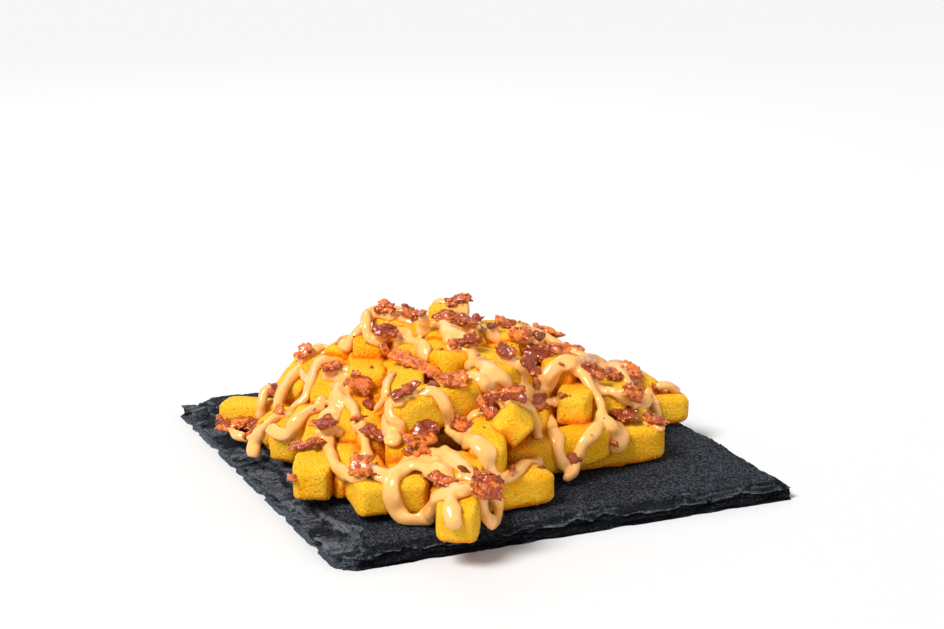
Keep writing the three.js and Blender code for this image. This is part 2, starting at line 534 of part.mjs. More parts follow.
// The heap as one solid: the core, the fries, the sauce and the small bits, cut flat below and pocketed. The
// slivers that the cuts leave loose are dropped.
function heapGeometry(toppings) {
  const pieces = [
    coreGeometry(),
    ...fries.map(fryGeometry),
    ...[...STRANDS, ...farStrands()].map(strandGeometry),
    ...BITS.map(bitGeometry),
  ];
  const depth = 100;
  const under = new THREE.BoxGeometry(4 * BOARD.width, 4 * BOARD.depth, depth).translate(0, 0, REST - depth / 2);
  const joined = pieces.map(solidOf).reduce((heap, piece) => heap.add(piece));
  const cuts = [under, ...toppings.map(pocketGeometry)];
  const cut = cuts.map(solidOf).reduce((heap, piece) => heap.subtract(piece), joined);
  const [largest] = cut.decompose().sort((a, b) => b.volume() - a.volume());
  return geometryOf(largest);
}

const COLOURS = { slate: 0x2b2f35, fries: 0xe9b23c, bacon: 0x8a3518 };

function mesh(name, geometry, colour, roughness) {
  const made = new THREE.Mesh(geometry, new THREE.MeshStandardMaterial({ color: colour, roughness, metalness: 0 }));
  made.name = name;
  return made;
}

const toppings = [...BACON, ...farBacon()];
const whole = new THREE.Group();
whole.add(mesh("slate_board", boardGeometry(), COLOURS.slate, 0.75));
whole.add(mesh("fries_heap", heapGeometry(toppings), COLOURS.fries, 0.55));
toppings.forEach((row, i) => whole.add(mesh(`bacon_${row[0]}`, sheetGeometry(row, i), COLOURS.bacon, 0.4)));

const middle = new THREE.Box3().setFromObject(whole).getCenter(new THREE.Vector3());
whole.position.set(-middle.x, -middle.y, 0);

export default whole;
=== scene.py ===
"""Loaded fries on a slate board: the finish and the fine forms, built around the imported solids.

The layout is in millimetres and is the same as that of the solids: its origin is the middle of the board's
underside. Every mesh is turned into metres in the row's frame only when it is made.
"""

import logging  # noqa: E402
import math  # noqa: E402
from dataclasses import dataclass, field  # noqa: E402
from enum import Enum  # noqa: E402
from typing import Sequence  # noqa: E402

import bmesh  # noqa: E402
import bpy  # noqa: E402
import numpy as np  # noqa: E402
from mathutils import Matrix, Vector  # noqa: E402
from mathutils.bvhtree import BVHTree  # noqa: E402
from mathutils.kdtree import KDTree  # noqa: E402

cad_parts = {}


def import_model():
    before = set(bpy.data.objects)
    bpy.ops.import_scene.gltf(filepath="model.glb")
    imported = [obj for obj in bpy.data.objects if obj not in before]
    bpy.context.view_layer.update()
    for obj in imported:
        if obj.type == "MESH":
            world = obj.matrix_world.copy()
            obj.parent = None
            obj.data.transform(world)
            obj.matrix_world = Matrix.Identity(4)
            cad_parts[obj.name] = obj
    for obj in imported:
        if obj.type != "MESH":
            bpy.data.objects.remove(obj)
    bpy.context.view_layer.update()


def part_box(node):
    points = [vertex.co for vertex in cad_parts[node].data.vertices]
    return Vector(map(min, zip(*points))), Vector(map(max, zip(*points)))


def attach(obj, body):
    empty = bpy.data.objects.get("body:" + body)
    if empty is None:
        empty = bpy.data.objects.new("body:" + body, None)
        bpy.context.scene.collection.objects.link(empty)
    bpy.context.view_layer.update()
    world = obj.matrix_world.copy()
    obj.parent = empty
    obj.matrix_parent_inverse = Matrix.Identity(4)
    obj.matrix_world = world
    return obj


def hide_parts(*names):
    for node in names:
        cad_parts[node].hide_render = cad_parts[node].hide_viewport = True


LOG = logging.getLogger("loaded_fries")
MM = 0.001

Array = np.ndarray
Socket = bpy.types.NodeSocket
Material = bpy.types.Material
Object = bpy.types.Object
Rows = Sequence[tuple]
Colour = tuple[float, float, float]
# Noises that are added up: the strength and the size of each, in millimetres, and its salt.
Noises = Sequence[tuple[float, float, int]]

# The gap between parts that lie on each other, in millimetres.
GAP = 0.3

# The turn in degrees from one of many scattered things to the next that spreads them evenly round a middle.
GOLDEN_ANGLE = 137.508

# Every fry that shows from the front: name, middle of the end that shows, heading, rise, length, width,
# height, roll. Heading is the way it runs from that end, in degrees from +X, and rise is its slope.
FRONT_FRIES: Rows = (
    ("front_tip", (-47, -97, 14), 62, 10, 40, 13, 12.5, 0),
    ("front_left", (-50, -69, 14), 70, 10, 36, 13, 13, 0),
    ("corner_main", (-59, -66, 14), 84, 4, 40, 13, 12.5, 0),
    ("corner_thin", (-62, -47, 12), 90, 10, 30, 9, 10, 0),
    ("left_post", (-74, -45, 14), 62, 9, 40, 12.5, 12, 0),
    ("left_stub", (-70, -4, 13), 41, 10, 36, 12, 12, 0),
    ("left_flat", (-74, 48, 12), -36, 1, 42, 10, 9.5, 0),
    ("left_lean", (-55, 32, 17), 50, 14, 30, 12, 11, 0),
    ("left_face", (-54, -5, 25), 66, 9, 34, 12, 11, 0),
    ("left_crown", (-41, 29, 33), -41, 4, 34, 10, 10, 0),
    ("left_behind", (-63, -11, 19), 60, 8, 34, 12, 12, 0),
    ("mid_post", (-56, -32, 20), 62, 11, 36, 9.5, 11, 0),
    ("pocket", (-51, -42, 20), 66, 8, 34, 12, 12, 0),
    ("head_left", (-34, 7, 38), 62, -6, 32, 12.5, 12.5, 0),
    ("head_under", (-41, -11, 31), 70, 2, 34, 13, 12, 0),
    ("top_left", (-26, 21, 44), -43, -4, 40, 11, 11, 0),
    ("mid_upper", (-39, -36, 33), 65, 2, 34, 13, 12, 0),
    ("loop_back", (-47, -58, 22), 70, 8, 34, 12, 12, 0),
    ("centre_big", (-47, -45, 33), 3, 8, 40, 13, 12.5, 0),
    ("centre_right", (-27, -45, 36), 20, 5, 34, 12, 12, 0),
    ("gap_end", (-12, -7, 37), 66, -6, 28, 10, 10, 0),
    ("gap_right", (-2, -15, 41), 122, 2, 32, 11, 11, 0),
    ("crown_slope", (8, -28, 36), 141, 8, 36, 11, 11, 0),
    ("top_right", (21, -15, 40), 143, 4, 42, 10, 10, 0),
    ("end_diamond", (-14, -67, 31), 68, 0, 34, 11, 11, 45),
    ("mid_wall", (-26, -73, 23), 64, 10, 36, 12, 12, 0),
    ("front_flat", (-2, -69, 13), 178, 0, 42, 12.5, 11.5, 0),
    ("long_right", (51, -45, 13), 176, 0, 54, 12.5, 12, 0),
    ("long_left", (-12, -53, 16), 6, 2, 40, 12, 12, 0),
    ("right_box", (17, -46, 27), 56, -2, 34, 12, 12, 0),
    ("right_dark", (35, -40, 26), 62, -2, 30, 11, 10, 0),
    ("right_far", (77, -18, 13), 160, 1, 44, 10.5, 10.5, 0),
    ("right_head", (19, -30, 34), 52, -10, 28, 13, 12.5, 0),
    ("right_over", (48, -28, 25), 160, 10, 36, 11, 10, 0),
    ("back_chip", (35, 6, 34), 154, 3, 34, 9, 9, 0),
    ("right_back", (68, -11, 18), 172, 18, 30, 11, 10, 0),
    ("crest_back", (-2, 21, 45), 60, -14, 30, 9, 9, 0),
    ("crest_right", (11, 8, 41), 40, -14, 30, 10, 9, 0),
)

# Each strand of sauce at the front: name, half its thickness, the points that it runs through.
STRANDS: Rows = (
    ("left_drop", 2.4, [[-58, 35, 22], [-61, 36, 22], [-64, 33, 18], [-64, 34, 13]]),
    ("crown_loop", 2.4, [[-20, 13, 49], [-22, 19, 50], [-26, 21, 51], [-30, 19, 50], [-33, 11, 48],
        [-33, 10, 44], [-31, 6, 43]]),
    ("outer_left", 2.6, [[-36, 42, 34], [-40, 43, 32], [-45, 42, 27], [-52, 36, 25], [-58, 29, 22],
        [-61, 24, 20]]),
    ("inner_left", 2.4, [[-42, 18, 35], [-46, 19, 35], [-51, 14, 33], [-55, 6, 31], [-60, 1, 27],
        [-63, 7, 22]]),
    ("broad_pour", 4.4, [[-45, 7, 34], [-45, 0, 31], [-49, -7, 29], [-53, -10, 27], [-58, -18, 26]]),
    ("pour_fall", 2.2, [[-49, -10, 31], [-49, -17, 29], [-51, -26, 27], [-54, -40, 27], [-55, -45, 22]]),
    ("low_left", 2.6, [[-56, -6, 28], [-61, -7, 26], [-66, -10, 25], [-68, -7, 19], [-71, -4, 19],
        [-71, 3, 20]]),
    ("toe_left", 2.8, [[-64, 10, 21], [-70, 6, 20], [-73, 8, 16], [-74, 11, 12], [-75, 10, 8]]),
    ("slate_drop", 2.4, [[-76, 32, 9], [-74, 26, 9], [-68, 22, 9], [-60, 19, 11]]),
    ("mid_left", 2.7, [[-62, -27, 25], [-64, -34, 23], [-65, -40, 21], [-65, -47, 19], [-63, -58, 20]]),
    ("thin_fall", 1.7, [[-36, -20, 41], [-40, -26, 39], [-44, -34, 37], [-45, -28, 31]]),
    ("crown_cross", 2.6, [[-31, 6, 44], [-25, 7, 45], [-22, 4, 44], [-19, -3, 43], [-20, -13, 42],
        [-20, -13, 38]]),
    ("top_drop", 2.6, [[-11, 5, 48], [-9, 0, 48], [-11, -8, 47], [-13, -17, 44]]),
    ("crest_pour", 3.0, [[-8, -18, 44], [-9, -22, 42], [-9, -31, 42], [-11, -43, 45], [-10, -49, 43],
        [-6, -46, 38]]),
    ("crest_knot", 2.4, [[-21, -45, 43], [-18, -44, 44], [-17, -49, 43], [-14, -50, 39]]),
    ("slope_wrap", 2.2, [[-2, -35, 45], [0, -40, 45], [2, -42, 42], [2, -42, 38]]),
    ("centre_wrap", 2.8, [[-38, -47, 41], [-34, -48, 42], [-32, -51, 40], [-30, -52, 35], [-27, -43, 27],
        [-27, -38, 23]]),
    ("centre_drip", 3.6, [[-47, -40, 31], [-48, -47, 30], [-50, -55, 29]]),
    ("front_over", 2.6, [[-30, -53, 28], [-28, -61, 28], [-28, -74, 28], [-26, -74, 23], [-23, -75, 19],
        [-16, -72, 19], [-8, -64, 18], [-1, -60, 16]]),
    ("front_loop", 3.4, [[-43, -80, 24], [-44, -70, 24], [-47, -64, 24], [-52, -64, 22], [-56, -68, 18],
        [-54, -68, 11], [-51, -71, 7], [-47, -73, 9], [-47, -79, 15], [-47, -89, 22], [-42, -90, 23],
        [-37, -87, 23]]),
    ("front_band", 3.0, [[-40, -59, 25], [-37, -67, 25], [-36, -77, 25], [-35, -84, 23]]),
    ("tip_drop", 2.7, [[-40, -85, 24], [-44, -88, 23], [-47, -93, 22], [-48.5, -98.5, 17]]),
    ("tip_loop", 2.7, [[-37, -90, 22], [-35, -88, 16], [-33, -91, 12], [-27, -83, 10], [-24, -77, 12],
        [-25, -75, 15]]),
    ("corner_run", 2.4, [[-58, -52, 22], [-58, -60, 21], [-57, -65, 21], [-53, -63, 21]]),
    ("diamond_arch", 2.5, [[-13, -52, 35], [-10, -57, 37], [-6, -56, 35], [0, -52, 29], [2, -52, 23]]),
    ("box_fall", 2.5, [[13, -32, 27], [12, -39, 24], [8, -51, 23], [6, -58, 19], [8, -58, 14]]),
    ("arch", 3.1, [[-1, -43, 36], [7, -36, 31], [14, -31, 30], [17, -30, 34], [19, -31, 39], [23, -31, 40],
        [28, -30, 37], [30, -32, 33], [32, -38, 31]]),
    ("arch_right", 2.6, [[33, -38, 31], [36, -42, 30], [47, -31, 21], [55, -24, 17], [61, -19, 20]]),
    ("arch_down", 2.7, [[27, -32, 37], [27, -38, 34], [29, -43, 28], [27, -48, 24], [20, -55, 22],
        [15, -57, 19], [14, -57, 13]]),
    ("arch_blob", 5.0, [[25, -51, 23], [31, -49, 20], [31, -51, 17]]),
    ("puddle", 3.0, [[14, -58, 16], [11, -59, 11], [9, -62, 9]]),
    ("far_fall", 2.2, [[62, -17, 20], [63, -19, 16], [64, -20, 11]]),
    ("far_drop", 2.4, [[66, -16, 21], [69, -17, 22], [73, -15, 19]]),
    ("back_arch", 2.5, [[29, -27, 38], [38, -17, 35], [45, -13, 32], [48, -13, 29]]),
    ("back_fall", 2.2, [[49, -12, 30], [48, -19, 32], [45, -30, 31], [46, -33, 27]]),
    ("top_run", 2.6, [[3, -4, 47], [5, -7, 46], [6, -11, 44]]),
    ("top_run_b", 2.4, [[17, -9, 46], [17, -16, 46], [19, -18, 42]]),
)

# The finer strands, which the solids leave out.
FINE_STRANDS: Rows = (
    ("left_link", 1.8, [[-52, 28, 30], [-52, 21, 29], [-53, 10, 31]]),
    ("crown_inner", 2.0, [[-20, 2, 42], [-23, 4, 41], [-26, 3, 40]]),
    ("face_drop", 2.2, [[-19, 8, 48], [-16, 8, 49], [-15, 5, 48], [-17, 0, 47]]),
    ("top_drop_b", 2.4, [[-7, 4, 48], [-6, -3, 48], [-7, -11, 47], [-8, -16, 45]]),
    ("middle_link", 2.0, [[-22, -46, 28], [-21, -52, 32], [-17, -50, 34]]),
    ("front_bar", 2.6, [[-49, -59, 23], [-45, -60, 24], [-42, -67, 25], [-41, -78, 24]]),
    ("crest_pool", 3.7, [[-10, -28, 43], [-11, -36, 44], [-12, -44, 43], [-12, -49, 40]]),
    ("pour_pool", 4.0, [[-47, 1, 32], [-50, -7, 30], [-54, -12, 28]]),
    ("centre_pool", 3.4, [[-44, -43, 38], [-46, -47, 35], [-48, -50, 31]]),
    ("front_pool", 3.2, [[-38, -60, 26], [-36, -70, 26], [-35, -80, 25]]),
    ("arch_pool", 3.6, [[12, -32, 33], [19, -31, 39], [27, -31, 38]]),
    ("corner_pool", 3.6, [[-58, -53, 22], [-57, -62, 21], [-52, -64, 21]]),
    ("head_pool", 3.2, [[-30, 6, 46], [-25, 7, 46], [-21, 3, 45]]),
    ("top_pool", 3.2, [[-10, 3, 49], [-9, -5, 48], [-10, -14, 46]]),
    ("wall_pool", 3.4, [[-28, -58, 29], [-27, -68, 28], [-25, -75, 26]]),
)

# Each larger piece of bacon at the front: name, its middle, the way its flat side faces, the way it runs,
# length, width, thickness.
BACON: Rows = (
    ("curl_left", [-45, 41, 32], [-0.3, -0.4, 0.9], [0.7, 0.6, 0.5], 7.5, 4.5, 1.8),
    ("pour_cap", [-48, 5, 36], [-0.2, -0.2, 1], [0.9, -0.3, 0.2], 7, 5, 1.8),
    ("loop_chunk", [-29, 4, 47], [-0.3, -0.8, 0.6], [0.9, -0.4, -0.1], 8, 4.5, 2.6),
    ("face_pink", [-44, -11, 35], [-0.4, -0.8, 0.4], [0.7, -0.6, -0.4], 9, 5.5, 2),
    ("wall_red", [-51, -42, 27], [-0.1, -0.4, 0.9], [0.6, -0.8, -0.3], 9, 5, 1.8),
    ("knot_dark", [-63, -29, 28], [-0.1, -0.2, 1], [1, 0.2, 0.1], 7, 6, 2.2),
    ("post_strip", [-70, -32, 23], [-0.2, -0, 1], [0.9, -0.3, 0.2], 10.5, 5.5, 2),
    ("pink_thick", [-62, -58, 23], [-0.3, -0.3, 0.9], [0.4, 0.8, 0.4], 10, 6.5, 2.8),
    ("slate_strip", [-71, 37, 9.5], [-0.35, -0.35, 0.9], [0.8, -0.6, 0.1], 17, 6, 2),
    ("long_strip", [-26, -16, 40], [-0.1, -0.4, 0.9], [0.6, -0.8, -0.3], 21, 6, 2),
    ("edge_strip", [-43, -48, 42], [-0.2, -0.3, 0.9], [0.9, 0.3, 0.3], 11, 3.5, 1.6),
    ("pale_slab", [-26, -47, 43], [-0.1, -0.4, 0.9], [0.9, -0.4, -0.1], 9.5, 6, 1.8),
    ("cap_slab", [-10, -19, 47], [-0.3, -0.5, 0.8], [1, -0.2, 0.2], 10, 4.5, 1.6),
    ("summit_top", [0, 8, 53.5], [-0.2, -0.3, 0.9], [0.8, -0.3, 0.4], 9, 5, 2),
    ("summit_red", [-7, 3, 49.5], [0, -0.5, 0.9], [1, 0.2, 0.1], 9, 5, 2),
    ("summit_side", [-3, -6, 50], [-0.3, -0.2, 0.9], [0.6, -0.8, -0], 11, 5.5, 2),
    ("ridge_a", [-18, 9, 51], [-0.1, -0.5, 0.9], [0.7, -0.6, -0.3], 7, 5, 1.8),
    ("ridge_b", [-24, 15, 52], [-0.6, -0.5, 0.6], [0.5, -0.8, -0.1], 7, 4.5, 1.8),
    ("slope_a", [13, -3, 46], [0.3, -0.4, 0.9], [0.9, -0.2, -0.3], 8.5, 5.5, 2),
    ("slope_b", [13, -15, 46], [-0.6, -0.4, 0.7], [0.6, -0.8, -0], 8, 5, 1.8),
    ("slope_dark", [-3, -38, 48], [-0.5, -0.4, 0.8], [0.3, -0.9, -0.2], 8, 4, 1.8),
    ("drop_dark", [2, -44, 44], [0.2, -0.8, 0.5], [0.5, -0.4, -0.8], 8, 4.5, 1.8),
    ("end_brown", [17, -19, 40], [-0.4, -0.8, 0.4], [0.9, -0.5, -0.1], 9, 6, 2),
    ("orange_flag", [31, -12, 37], [0.1, -0.4, 0.9], [0.9, -0.3, -0.1], 13, 7.5, 1.8),
    ("middle_red", [-12, -57, 40], [-0.4, -0.8, 0.5], [0.9, -0.4, 0.1], 12, 4.5, 2),
    ("middle_fall", [-17, -53, 35], [-0.2, -0.7, 0.7], [0.2, -0.7, -0.7], 9, 6, 1.8),
    ("arch_red", [7, -40, 30], [0.2, -0.9, 0.4], [1, 0.1, -0.1], 8, 6, 2),
    ("pocket_pink", [-25, -54, 30], [-0.7, -0.7, 0.2], [0.6, -0.7, -0.4], 9.5, 5.5, 2),
    ("front_dark", [-38, -52, 30], [-0.3, -0.6, 0.7], [0.8, -0.6, -0.1], 8.5, 7, 2.2),
    ("front_rust", [-43, -59, 29], [0.1, -0.4, 0.9], [1, 0.2, 0], 11, 5.5, 2),
    ("front_strip", [-44, -81, 23], [-0.2, -0.5, 0.8], [0.6, -0.8, -0.3], 10, 4, 2),
    ("front_big", [-35, -92, 24], [0, -0.8, 0.7], [0.9, -0.3, -0.4], 10, 9, 2.4),
    ("arch_top_a", [30, -35, 36], [-0.1, -0.7, 0.7], [0.8, -0.5, -0.3], 8, 5, 2),
    ("arch_top_b", [40, -29, 32], [0, -0.2, 1], [0.3, -0.9, -0.2], 8, 5.5, 2),
    ("back_stack", [57, -12, 27], [0.2, -0.3, 0.9], [0.1, -0.9, -0.4], 10, 6, 2),
    ("far_pink", [40, -44, 30], [0.2, -0.9, 0.4], [0.9, -0, -0.5], 8.5, 5, 1.8),
    ("long_dark", [39, -42, 22], [-0.2, -0.4, 0.9], [0.6, -0.7, -0.2], 8, 7, 2.2),
    ("long_rust", [47, -47.5, 20.5], [0, -0.2, 1], [0.4, -0.9, -0.2], 9, 4.5, 1.8),
)

# The small bits of bacon: the middle and the size of each.
BITS: Rows = (
    ((-37, 26, 39), 4), ((-44, -20, 30), 6), ((-53, -32, 30), 5.5), ((-62, -16, 25), 4),
    ((-58, -62, 21), 6), ((-66, 8, 23), 5), ((-60, 31, 23), 4), ((-79, -42, 17), 4), ((-29, 5, 41), 4.5),
    ((-31, -43, 42), 4.5), ((-12, -19, 38), 6), ((-3, -13, 46), 5.5), ((-18, -2, 54), 4),
    ((17, 12, 45), 4), ((18, -18, 46), 4.5), ((11, -31, 33), 5.5), ((-4, -46, 38), 4),
    ((-47, -60, 26), 4.5), ((-43, -62, 27), 4.5), ((-37, -81, 26), 4), ((-45, -69, 21), 4),
    ((-18, -74, 21), 5), ((-5, -68, 18), 4), ((59, -15, 24), 5), ((65, -16, 21), 4), ((29, -54, 17), 5),
    ((11, -58, 15), 5.5), ((15, -43, 32), 3), ((-72, 23, 10), 5), ((5, -9, 49), 4),
)


class Face(Enum):
    """The four sides of the board's outline."""

    FRONT = "front"
    RIGHT = "right"
    BACK = "back"
    LEFT = "left"


class Cut(Enum):
    """How a piece of bacon was cut and cooked: its share of fat, and how dark its lean part is."""

    DARK = (0.18, 0.9)
    RED = (0.34, 0.55)
    RUST = (0.5, 0.35)
    PINK = (0.66, 0.3)
    AMBER = (0.86, 0.12)

    @property
    def fat(self) -> float:
        """The share of fat, from 0 to 1."""
        return self.value[0]

    @property
    def char(self) -> float:
        """How dark the lean part is, from 0 to 1."""
        return self.value[1]


def jitter(number: float, salt: float) -> float:
    """A number from -1 to 1 that looks random and is the same on every run.

    Args:
        number: Which piece it is for.
        salt: Which of the piece's values it is for.

    Returns:
        The number, the same as the solids use for the same arguments.
    """
    wave = math.sin(number * 12.9898 + salt * 78.233) * 43758.5453
    return 2 * (wave - math.floor(wave)) - 1


def unit(rows: Array) -> Array:
    """The rows as unit vectors."""
    return rows / np.maximum(np.linalg.norm(rows, axis=-1, keepdims=True), 1e-9)


def smooth_step(low: float, high: float, value: Array) -> Array:
    """Rises smoothly from 0 at low to 1 at high."""
    share = np.clip((value - low) / (high - low), 0, 1)
    return share * share * (3 - 2 * share)


def lattice(cell: Array, salt: int) -> Array:
    """A value from -1 to 1 for each whole-numbered cell of space.

    Args:
        cell: Whole numbers, one row of three for each point.
        salt: Which field of values is asked for.

    Returns:
        One value a row.
    """
    mixed = cell.astype(np.int64) @ np.array([73856093, 19349663, 83492791], np.int64) + salt * 2654435761
    mixed = (mixed ^ (mixed >> 13)) * 1274126177 & 0xFFFFFFFF
    mixed = (mixed ^ (mixed >> 16)) & 0xFFFF
    return mixed / 32767.5 - 1


def noise(points: Array, size: float, salt: int = 0) -> Array:
    """Smooth noise over space, about -1 to 1.

    Args:
        points: Places in millimetres, one row of three each.
        size: How large the noise's features are, in millimetres.
        salt: Which field of noise is asked for.

    Returns:
        One value a point.
    """
    scaled = points / size + 0.37 * salt
    base = np.floor(scaled)
    share = scaled - base
    share = share * share * (3 - 2 * share)
    total = np.zeros(len(points))
    for corner in range(8):
        step = np.array([corner & 1, corner >> 1 & 1, corner >> 2 & 1])
        weight = np.prod(np.where(step, share, 1 - share), axis=1)
        total += weight * lattice(base + step, salt)
    return total


def layered(points: Array, noises: Noises) -> Array:
    """Several noises added up.

    Args:
        points: Places in millimetres, one row of three each.
        noises: The strength, size and salt of each.

    Returns:
        One value a point.
    """
    total = np.zeros(len(points))
    for strength, size, salt in noises:
        total += strength * noise(points, size, salt)
    return total


def rotation(angle: float, axis: int) -> Array:
    """The matrix that turns points by an angle in radians round one axis."""
    low, high = [k for k in range(3) if k != axis]
    turned = np.eye(3)
    turned[low, low] = turned[high, high] = math.cos(angle)
    turned[low, high] = -math.sin(angle)
    turned[high, low] = math.sin(angle)
    return turned


def ball_of(fineness: int) -> tuple[Array, Array]:
    """A ball of three-sided faces.

    Args:
        fineness: 1 for twenty faces, 2 for eighty.

    Returns:
        Its points on a unit sphere and its faces.
    """
    work = bmesh.new()
    bmesh.ops.create_icosphere(work, subdivisions=fineness, radius=1)
    points = np.array([vertex.co for vertex in work.verts], float)
    faces = np.array([[vertex.index for vertex in face.verts] for face in work.faces])
    work.free()
    return points, faces


def normals_of(points: Array, faces: Sequence[Sequence[int]]) -> Array:
    """The normal of a surface at each of its points.

    Args:
        points: The points.
        faces: The surface's faces, each with four corners.

    Returns:
        One unit vector a point.
    """
    corners = np.array(faces)
    first = points[corners[:, 2]] - points[corners[:, 0]]
    second = points[corners[:, 3]] - points[corners[:, 1]]
    normals = np.cross(first, second)
    total = np.zeros_like(points)
    for k in range(4):
        np.add.at(total, corners[:, k], normals)
    return unit(total)


@dataclass
class Shape:
    """A mesh in the making: its points in layout millimetres, its faces, and values that its finish reads."""

    points: Array
    faces: list[list[int]]
    values: dict[str, Array] = field(default_factory=dict)
    smooth: bool = True

    @staticmethod
    def joined(shapes: Sequence["Shape"]) -> "Shape":
        """Several shapes as one.

        Args:
            shapes: Shapes that hold the same values.

        Returns:
            One shape, with every point, face and value.
        """
        faces: list[list[int]] = []
        start = 0
        for shape in shapes:
            faces += [[corner + start for corner in face] for face in shape.faces]
            start += len(shape.points)
        values = {name: np.concatenate([shape.values[name] for shape in shapes]) for name in shapes[0].values}
        return Shape(np.concatenate([shape.points for shape in shapes]), faces, values)

    def filled(self, name: str, value: float) -> "Shape":
        """This shape, with one value all over it under that name."""
        self.values[name] = np.full(len(self.points), value)
        return self


@dataclass
class Layout:
    """Where the layout lies in the row's frame."""

    shift: Array

    @staticmethod
    def of_board(board: "Board") -> "Layout":
        """Finds the layout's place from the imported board.

        Args:
            board: The board, whose outline is centred in the layout.

        Returns:
            The layout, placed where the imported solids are.
        """
        low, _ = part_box(board.node)
        corner = np.array([-board.width / 2, -board.depth / 2, 0])
        return Layout(np.array(low) / MM - corner)

    def metres(self, points: Array) -> Array:
        """Layout millimetres as metres in the row's frame."""
        return (points + self.shift) * MM

    def mesh(self, name: str, shape: Shape) -> Object:
        """Makes an object from a shape.

        Args:
            name: The object's name.
            shape: What it is made of.

        Returns:
            The object, in the scene, on no body yet.
        """
        data = bpy.data.meshes.new(name)
        data.from_pydata(self.metres(shape.points).tolist(), [], shape.faces)
        for key, value in shape.values.items():
            data.attributes.new(key, "FLOAT", "POINT").data.foreach_set("value", value.astype(np.float32))
        data.polygons.foreach_set("use_smooth", np.full(len(data.polygons), shape.smooth))
        data.update()
        made = bpy.data.objects.new(name, data)
        bpy.context.scene.collection.objects.link(made)
        return made

    def run_together(self, shape: Shape, voxel: float, passes: int) -> tuple[Array, list[list[int]]]:
        """Runs overlapping closed forms together into one surface.

        Args:
            shape: The forms.
            voxel: How fine the surface is, in millimetres.
            passes: How many times it is drawn smooth.

        Returns:
            The surface's points and faces.
        """
        made = self.mesh("forms", Shape(shape.points, shape.faces))
        remesh = made.modifiers.new("run_together", "REMESH")
        remesh.mode = "VOXEL"
        remesh.voxel_size = voxel * MM
        even = made.modifiers.new("draw_smooth", "SMOOTH")
        even.factor = 0.5
        even.iterations = passes
        bpy.context.view_layer.update()
        fused = bpy.data.meshes.new_from_object(made.evaluated_get(bpy.context.evaluated_depsgraph_get()))
        points = np.empty(len(fused.vertices) * 3, np.float32)
        fused.vertices.foreach_get("co", points)
        faces = [list(face.vertices) for face in fused.polygons]
        bpy.data.objects.remove(made)
        bpy.data.meshes.remove(fused)
        return points.reshape(-1, 3).astype(float) / MM - self.shift, faces

    def piece(
        self, name: str, shape: Shape, finish: Material, slot: str, nodes: Sequence[str] = ()
    ) -> Object:
        """Makes a piece of the object from a shape.

        Args:
            name: The piece's name.
            shape: What it is made of.
            finish: Its material.
            slot: The name of the record's material slot; not used.
            nodes: The solids that it stands for.

        Returns:
            The piece, riding on the whole.
        """
        made = self.mesh(name, shape)
        made.data.materials.append(finish)
        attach(made, "root")
        if nodes:
            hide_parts(*nodes)
        triangles = sum(len(face) - 2 for face in shape.faces)
        LOG.info("%s: %d triangles, stands for %d solids", name, triangles, len(nodes))
        return made


def grid_faces(rows: int, columns: int, closed: bool = False) -> Array:
    """The four-sided faces of a grid of points laid out row by row.

    Args:
        rows: How many rows of points there are.
        columns: How many points a row has.
        closed: Whether each row joins up with its own start.

    Returns:
        The corners of each face, one face a row.
    """
    across = np.arange(columns if closed else columns - 1)
    up = np.arange(rows - 1)[:, None]
    a = up * columns + across
    b = up * columns + (across + 1) % columns
    return np.stack([a, b, b + columns, a + columns], axis=-1).reshape(-1, 4)


def sheet_faces(rows: int, columns: int) -> Array:
    """The faces of a closed sheet: a grid of points below, the same grid above, and a wall round the rim.

    Args:
        rows: How many rows of points each grid has.
        columns: How many points a row has.

    Returns:
        The corners of each face, one face a row.
    """
    bottom = grid_faces(rows, columns)
    count = rows * columns
    spots = np.arange(count).reshape(rows, columns)
    border = np.concatenate([spots[:-1, 0], spots[-1, :-1], spots[:0:-1, -1], spots[0, :0:-1]])
    after = np.roll(border, -1)
    wall = np.stack([border, after, after + count, border + count], axis=-1)
    return np.vstack([bottom[:, ::-1] + count, bottom, wall])


